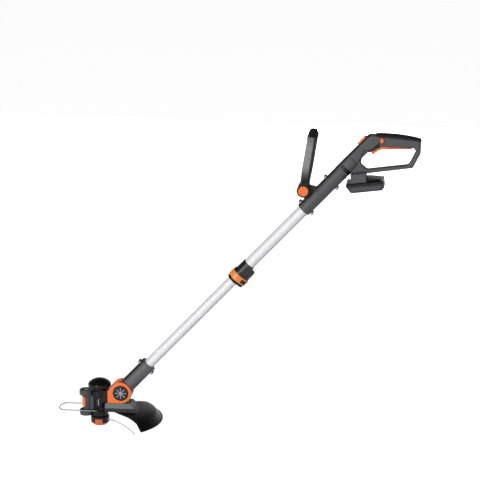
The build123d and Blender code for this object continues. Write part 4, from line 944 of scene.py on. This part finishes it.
class TRIMMER_OT_rear_pad(bpy.types.Operator):
    """Grooved rubber skin over the top and rear end of the grip"""

    bl_idname = "trimmer.rear_pad"
    bl_label = "Rear grip pad"

    TOP = ((181.0, 221.0), (240.0, 222.0), (327.5, 209.5))
    REAR_FOOT = (327.0, 170.0)
    REAR_ROUND = 7.0
    THICK = 1.6
    HALF = 18.5
    SHOULDER = 9.0
    START_X = 202.5
    LOW_START = (200.0, 217.0)
    LOW_SLOPE = -14.0 / 160.0
    NOTCH = (218.5, 206.5)
    NOTCH_HALF = (7.25, 9.75)
    SKIN = 0.9
    STEPS_ACROSS = 81
    STEPS_CROWN = 230
    STEPS_CORNER = 24
    STEPS_REAR = 6
    LEAST_FALL = 0.4
    LEAST_DEPTH = 0.5
    # Grooves start this far from the ends, and end at this turn down the shoulders
    GROOVE_START = (6.0, 10.0)
    GROOVE_END = (0.5, 1.1)

    def low_edge(self, x):
        """Height of the pad's lower edge: a slope, lifted over an ellipse round the lock-off bolt."""
        slope = self.LOW_START[1] + self.LOW_SLOPE * (x - self.LOW_START[0])
        share = np.clip((x - self.NOTCH[0]) / self.NOTCH_HALF[0], -1.0, 1.0)
        return np.maximum(slope, self.NOTCH[1] + self.NOTCH_HALF[1] * np.sqrt(1.0 - share**2))

    def outline(self):
        """Places and outward normals along the crown arc, the rounded rear corner and the rear face."""
        a, b, c = (np.array(point) for point in self.TOP)
        sides = 2 * np.array((b - a, c - a))
        centre = np.linalg.solve(sides, np.array((b @ b - a @ a, c @ c - a @ a)))
        radius = np.linalg.norm(a - centre)
        down = np.array(self.REAR_FOOT) - c
        face = np.array((-down[1], down[0])) / np.linalg.norm(down)
        # The corner's centre lies one corner radius inside the rear face and inside the crown circle
        foot = c - face * self.REAR_ROUND
        run = -down / np.linalg.norm(down)
        gap = foot - centre
        along = gap @ run
        rise = -along + np.sqrt(along**2 - gap @ gap + (radius - self.REAR_ROUND) ** 2)
        corner = foot + run * rise
        tangent = np.arctan2(*(corner - centre)[::-1])
        first = np.arccos((self.START_X - centre[0]) / (radius + self.THICK))
        last = np.arctan2(face[1], face[0])
        crown = np.linspace(first, tangent, self.STEPS_CROWN)
        bend = np.linspace(tangent, last, self.STEPS_CORNER)[1:]
        crown_n = np.stack((np.cos(crown), np.sin(crown)), -1)
        bend_n = np.stack((np.cos(bend), np.sin(bend)), -1)
        crown_p = centre + crown_n * (radius + self.THICK)
        bend_p = corner + bend_n * (self.REAR_ROUND + self.THICK)
        end = bend_p[-1][1] - self.low_edge(bend_p[-1][0])
        fall = np.linspace(0.0, max(end, self.LEAST_FALL), self.STEPS_REAR)[1:]
        face_p = bend_p[-1] - run * fall[:, None]
        face_n = np.broadcast_to(face, face_p.shape)
        reach = crown_p[:, 1] - self.low_edge(crown_p[:, 0])
        crown_q = crown_p - crown_n * (reach / crown_n[:, 1])[:, None]
        crown_q[:, 1] = self.low_edge(crown_q[:, 0])
        rest = len(bend_p) + len(face_p)
        turn_q = np.repeat(crown_q[-1:], rest, axis=0)
        places = np.concatenate((crown_p, bend_p, face_p))
        normals = np.concatenate((crown_n, bend_n, face_n))
        return places, normals, np.concatenate((crown_q, turn_q))

    def execute(self, context):
        sizes = context.scene.trimmer_sizes
        pitch, depth = sizes.pad_pitch / MM, sizes.pad_depth / MM
        place, normal, low = self.outline()
        way = np.concatenate(((0.0,), np.cumsum(np.linalg.norm(np.diff(place, axis=0), axis=1))))
        deep = np.maximum(-((low - place) * normal).sum(-1), self.LEAST_DEPTH)[:, None]
        # Section: flat crown, quarter-round shoulder, straight side, walked from the middle out
        flat, quarter = self.HALF - self.SHOULDER, self.SHOULDER * np.pi / 2
        arc = self.SHOULDER * np.arccos(np.clip(1.0 - deep / self.SHOULDER, 0.0, 1.0))
        total = flat + arc + np.maximum(deep - self.SHOULDER, 0.0)
        side = np.linspace(-1.0, 1.0, self.STEPS_ACROSS)[None, :]
        walk = np.abs(side) * total
        angle = np.clip(walk - flat, 0.0, quarter) / self.SHOULDER
        fall = self.SHOULDER * (1.0 - np.cos(angle)) + np.maximum(walk - flat - quarter, 0.0)
        half = np.minimum(walk, flat) + self.SHOULDER * np.sin(angle)
        # Grooves across the crown, fading towards the ends and down the shoulders
        ends = smooth_step(*self.GROOVE_START, np.minimum(way, way[-1] - way))[:, None]
        fade = ends * (1.0 - smooth_step(*self.GROOVE_END, angle))
        wave = np.sin(np.pi * way / pitch)[:, None] ** 2
        groove = depth * fade * np.clip(1.8 * wave - 0.8, 0.0, 1.0)
        fall = fall + groove * np.cos(angle)
        half = half - groove * np.sin(angle)
        plane = place[:, None] + (low - place)[:, None] * (fall / deep)[..., None]
        local = np.stack((plane[..., 0], half * np.sign(side), plane[..., 1]), -1)
        points = on_handle(local)
        quads = grid_quads(*points.shape[:2])
        finish = FINISHES["soft_rubber"]
        pad = new_piece("rear_grip_skin", points, quads, finish, "rear_handle")
        wall = pad.modifiers.new("Wall", "SOLIDIFY")
        wall.thickness = self.SKIN * MM
        wall.offset = -1.0
        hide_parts("grip_pad")
        return {"FINISHED"}


class TRIMMER_OT_screws(bpy.types.Operator):
    """Pan-head screws with a cross recess in the housing's and the neck's eyelets"""

    bl_idname = "trimmer.screws"
    bl_label = "Screws"

    LUG_HALF = 9.0
    SHANK = 2.0
    HEAD_HEIGHT = 2.2
    CROWN = 0.5
    EDGE = 0.5
    POINT = 0.6
    POLE = 0.02
    TURNS = 64
    STEPS_FACE = 26
    # First and last turn, and steps, round the head's edge
    EDGE_TURN = (0.2, 1.4, 5)
    ARM_HALF = 0.55
    ARM_REACH = 2.1
    ARM_EDGE = 0.12
    HOUSING_STATIONS = (11.5, 113.0)
    HOUSING_OFFSET = 23.0
    NECK_STATION = 105.0
    NECK_OFFSET = 23.5

    def screw(self, head, recess):
        """Turned profile of head and shank, with a plus-shaped hollow sunk into the crown."""
        turn = np.linspace(0.0, 2 * np.pi, self.TURNS, endpoint=False)
        flat, foot = head - self.EDGE, -2 * self.LUG_HALF + 1.0
        face_r = np.linspace(self.POLE, flat, self.STEPS_FACE)
        face_z = self.HEAD_HEIGHT - self.CROWN * (face_r / head) ** 2
        edge = np.linspace(*self.EDGE_TURN)
        edge_r = flat + self.EDGE * np.sin(edge)
        edge_z = face_z[-1] - self.EDGE + self.EDGE * np.cos(edge)
        tail_r = np.array((head, head, self.SHANK, self.SHANK, self.SHANK - self.POINT, self.POLE))
        tail_z = np.array((0.3, 0.0, 0.0, foot + 1.0, foot, foot))
        radius = np.concatenate((face_r, edge_r, tail_r))[:, None]
        height = np.concatenate((face_z, edge_z, tail_z))[:, None]
        x, z = radius * np.cos(turn), radius * np.sin(turn)
        arm_x = np.maximum(np.abs(x) - self.ARM_REACH, np.abs(z) - self.ARM_HALF)
        arm_z = np.maximum(np.abs(z) - self.ARM_REACH, np.abs(x) - self.ARM_HALF)
        hollow = smooth_step(self.ARM_EDGE, -self.ARM_EDGE, np.minimum(arm_x, arm_z)) * (height > 1.0)
        out = height + 0.0 * x - recess * hollow
        return np.stack((x, -out - self.LUG_HALF, z), -1)

    def execute(self, context):
        sizes = context.scene.trimmer_sizes
        screw = self.screw(sizes.screw_head / MM, sizes.recess_depth / MM)
        rows, columns = screw.shape[:2]
        quads = grid_quads(rows, columns, wrap_columns=True)
        sides = (-UNDER, UNDER)
        housing = [s * ALONG + self.HOUSING_OFFSET * side for s in self.HOUSING_STATIONS for side in sides]
        neck = [self.NECK_STATION * ALONG + self.NECK_OFFSET * side for side in sides]
        for name, origin, places, body, node in (
            ("housing_screw_set", HANDLE_ORIGIN, housing, "rear_handle", "housing_screws"),
            ("neck_screw_set", PIVOT, neck, "lower_shaft", "neck_screws"),
        ):
            seats = np.array(places) + origin
            points = (seats[:, None, None] + screw[None]) * MM
            steps = np.arange(len(seats))[:, None, None] * rows * columns
            faces = (quads[None] + steps).reshape(-1, 4)
            piece = new_piece(name, points, faces, SCREW_FINISH, body)
            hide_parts(node)
        return {"FINISHED"}


class TRIMMER_OT_panels(bpy.types.Operator):
    """Bare panels on the battery's sides and the ribbed thumb pad on the collar ring"""

    bl_idname = "trimmer.panels"
    bl_label = "Panels"

    PANEL_X = (-24.0, 60.0)
    PANEL_Z = (-22.5, -11.0)
    PANEL_Y = 37.5
    PANEL_PROUD = 0.5
    PANEL_ROUND = 3.0
    PANEL_BORDER = 0.8
    PANEL_GRID = (120, 48)
    DISH_BORDER = 3.2
    DISH_DEPTH = 0.18
    RING_SPAN = (487.6, 500.4)
    RING_R = 22.6
    LOBE_X = 20.0
    LOBE_R = 14.5
    THUMB_START = 7.0
    THUMB_TURN = 0.45
    THUMB_RISE = 0.7
    THUMB_ROUND = 2.2
    THUMB_BORDER = 0.9
    THUMB_GRID = (110, 60)
    RIB_BORDER = 3.0
    RIB_HEIGHT = 0.5
    # Depth under the carrier's face of a pad's edge and of its underside
    SUNK = 0.3
    BED = 0.8

    def cushion(self, u, v, radius, border):
        """A rise from 0 at the edge of a rounded rectangle to 1 at a border's width inside it."""
        half_u, half_v = (u.max() - u.min()) / 2, (v.max() - v.min()) / 2
        over_u = np.abs(u - u.mean()) - (half_u - radius)
        over_v = np.abs(v - v.mean()) - (half_v - radius)
        outside = np.hypot(np.maximum(over_u, 0), np.maximum(over_v, 0))
        outside = outside + np.minimum(np.maximum(over_u, over_v), 0)
        return smooth_step(0.0, border, radius - outside)

    def battery_panel(self, side):
        """A rounded slab on the case's side: a rise inside its edge, less a shallow dish in its middle."""
        rows, columns = self.PANEL_GRID
        ways = np.linspace(*self.PANEL_X, rows), np.linspace(*self.PANEL_Z, columns)
        x, z = np.meshgrid(*ways, indexing="ij")
        rise = self.cushion(x, z, self.PANEL_ROUND, self.PANEL_BORDER)
        dish = smooth_step(0.0, 1.0, self.cushion(x, z, self.PANEL_ROUND, self.DISH_BORDER) * 2 - 1)
        top = self.PANEL_Y - self.SUNK + (self.PANEL_PROUD + self.SUNK) * rise - self.DISH_DEPTH * dish
        grids = [np.stack((x, side * y, z), -1) for y in (top, np.full_like(x, self.PANEL_Y - self.BED))]
        return on_dock(np.stack(grids)), slab_quads(rows, columns)

    def thumb_pad(self, ribs):
        """A pad along the ring's straight flank and on round its lobe, with ribs along the shaft."""
        lean = np.arccos((self.RING_R - self.LOBE_R) / self.LOBE_X)
        flank = np.array((np.cos(lean), -np.sin(lean), 0.0))
        start = flank * self.RING_R
        end = flank * self.LOBE_R + np.array((self.LOBE_X, 0.0, 0.0))
        run = np.linalg.norm(end - start)
        reach = run + self.LOBE_R * self.THUMB_TURN
        rows, columns = self.THUMB_GRID
        ways = np.linspace(self.THUMB_START, reach, rows), np.linspace(*self.RING_SPAN, columns)
        u, v = np.meshgrid(*ways, indexing="ij")
        turn = lean - np.maximum(u - run, 0.0) / self.LOBE_R
        normal = np.stack((np.cos(turn), -np.sin(turn), np.zeros_like(u)), -1)
        rise = self.cushion(u, v, self.THUMB_ROUND, self.THUMB_BORDER)
        share = (u - u.min()) / (u.max() - u.min())
        inside = self.cushion(u, v, self.THUMB_ROUND, self.RIB_BORDER)
        rib = self.RIB_HEIGHT * inside * (0.5 - 0.5 * np.cos(2 * np.pi * ribs * share))
        top = -self.SUNK + self.THUMB_RISE * rise + rib
        way = (end - start) / run
        straight = np.minimum(u - run, 0.0)[..., None] * way
        base = np.array((self.LOBE_X, 0.0, 0.0)) + normal * self.LOBE_R + straight
        base = base + np.array((0.0, 0.0, 1.0)) * v[..., None]
        grids = [base + height[..., None] * normal for height in (top, np.full_like(top, -self.BED))]
        return on_shaft(np.stack(grids)), slab_quads(rows, columns)

    def execute(self, context):
        for name, side in (("battery_panel_near", -1.0), ("battery_panel_far", 1.0)):
            points, quads = self.battery_panel(side)
            new_piece(name, points, quads, FINISHES["dark_button"], "battery")
        points, quads = self.thumb_pad(context.scene.trimmer_sizes.thumb_ribs)
        finish = FINISHES["soft_rubber"]
        new_piece("collar_thumb_pad", points, quads, finish, "collar_lock_ring")
        return {"FINISHED"}


class TRIMMER_OT_surrounds(bpy.types.Operator):
    """Dark rings round the front handle's lock button and round both ends of the lock-off bolt"""

    bl_idname = "trimmer.surrounds"
    bl_label = "Surrounds"

    TURNS = 168
    # Section of a ring: share of its width, and share of its height
    SECTION = ((0.0, -0.4), (0.0, 0.7), (0.2, 1.0), (0.8, 1.0), (1.0, 0.7), (1.0, -0.4))
    BUTTON_FACE = 27.0
    BUTTON_R = (14.8, 17.6)
    BUTTON_RISE = 1.3
    SCALLOPS = 14
    SCALLOP = 0.7
    BOLT_AT = (218.5, 206.5)
    BOLT_FACE = 17.5
    BOLT_INNER = (5.55, 8.05)
    BOLT_OUTER = (7.0, 9.5)
    BOLT_RISE = 0.9

    def ring(self, inner, outer, face, rise, side):
        """A section carried round: its share of the width sets a point between inner and outer outline."""
        share, height = np.array(self.SECTION).T[:, None, :, None]
        flat = inner[:, None] + (outer - inner)[:, None] * share
        out = np.broadcast_to(side * (face + rise * height), (*flat.shape[:2], 1))
        return np.concatenate((flat[..., :1], out, flat[..., 1:]), -1)

    def execute(self, context):
        turn = np.linspace(0.0, 2 * np.pi, self.TURNS, endpoint=False)[:, None]
        round_way = np.concatenate((np.cos(turn), np.sin(turn)), -1)
        scallop = self.SCALLOP * (0.5 - 0.5 * np.cos(self.SCALLOPS * turn))
        inner, outer = round_way * (self.BUTTON_R[0] + scallop), round_way * self.BUTTON_R[1]
        button = on_front_handle(self.ring(inner, outer, self.BUTTON_FACE, self.BUTTON_RISE, -1.0))
        quads = grid_quads(self.TURNS, len(self.SECTION), wrap_rows=True, wrap_columns=True)
        finish, slot = FINISHES["black_plastic"], "black_plastic"
        new_piece("front_lock_surround", button, quads, finish, "front_handle")
        centre = np.array((self.BOLT_AT[0], 0.0, self.BOLT_AT[1]))
        inner, outer = round_way * self.BOLT_INNER, round_way * self.BOLT_OUTER
        for name, side in (("lock_off_surround_near", -1.0), ("lock_off_surround_far", 1.0)):
            ring = on_handle(self.ring(inner, outer, self.BOLT_FACE, self.BOLT_RISE, side) + centre)
            new_piece(name, ring, quads, finish, "rear_handle")
        return {"FINISHED"}


class TRIMMER_PT_panel(bpy.types.Panel):
    """Lists the trimmer's settings and the steps that make it"""

    bl_idname = "TRIMMER_PT_panel"
    bl_label = "String trimmer"
    bl_space_type = "VIEW_3D"
    bl_region_type = "UI"
    bl_category = "Trimmer"

    def draw(self, context):
        column = self.layout.column()
        for settings in (context.scene.trimmer_colours, context.scene.trimmer_sizes):
            for name in settings.bl_rna.properties.keys()[2:]:
                column.prop(settings, name)
        for step in STEPS:
            column.operator(step.bl_idname)


STEPS = (
    TRIMMER_OT_stage,
    TRIMMER_OT_finishes,
    TRIMMER_OT_line,
    TRIMMER_OT_front_grip,
    TRIMMER_OT_rear_pad,
    TRIMMER_OT_screws,
    TRIMMER_OT_panels,
    TRIMMER_OT_surrounds,
)
CLASSES = (TrimmerColours, TrimmerSizes, *STEPS, TRIMMER_PT_panel)


def register():
    for item in CLASSES:
        bpy.utils.register_class(item)
    bpy.types.Scene.trimmer_colours = PointerProperty(type=TrimmerColours)
    bpy.types.Scene.trimmer_sizes = PointerProperty(type=TrimmerSizes)


def unregister():
    del bpy.types.Scene.trimmer_sizes
    del bpy.types.Scene.trimmer_colours
    for item in reversed(CLASSES):
        bpy.utils.unregister_class(item)


def main():
    register()
    for step in STEPS:
        family, name = step.bl_idname.split(".")
        getattr(getattr(bpy.ops, family), name)()


if __name__ == "__main__":
    main()
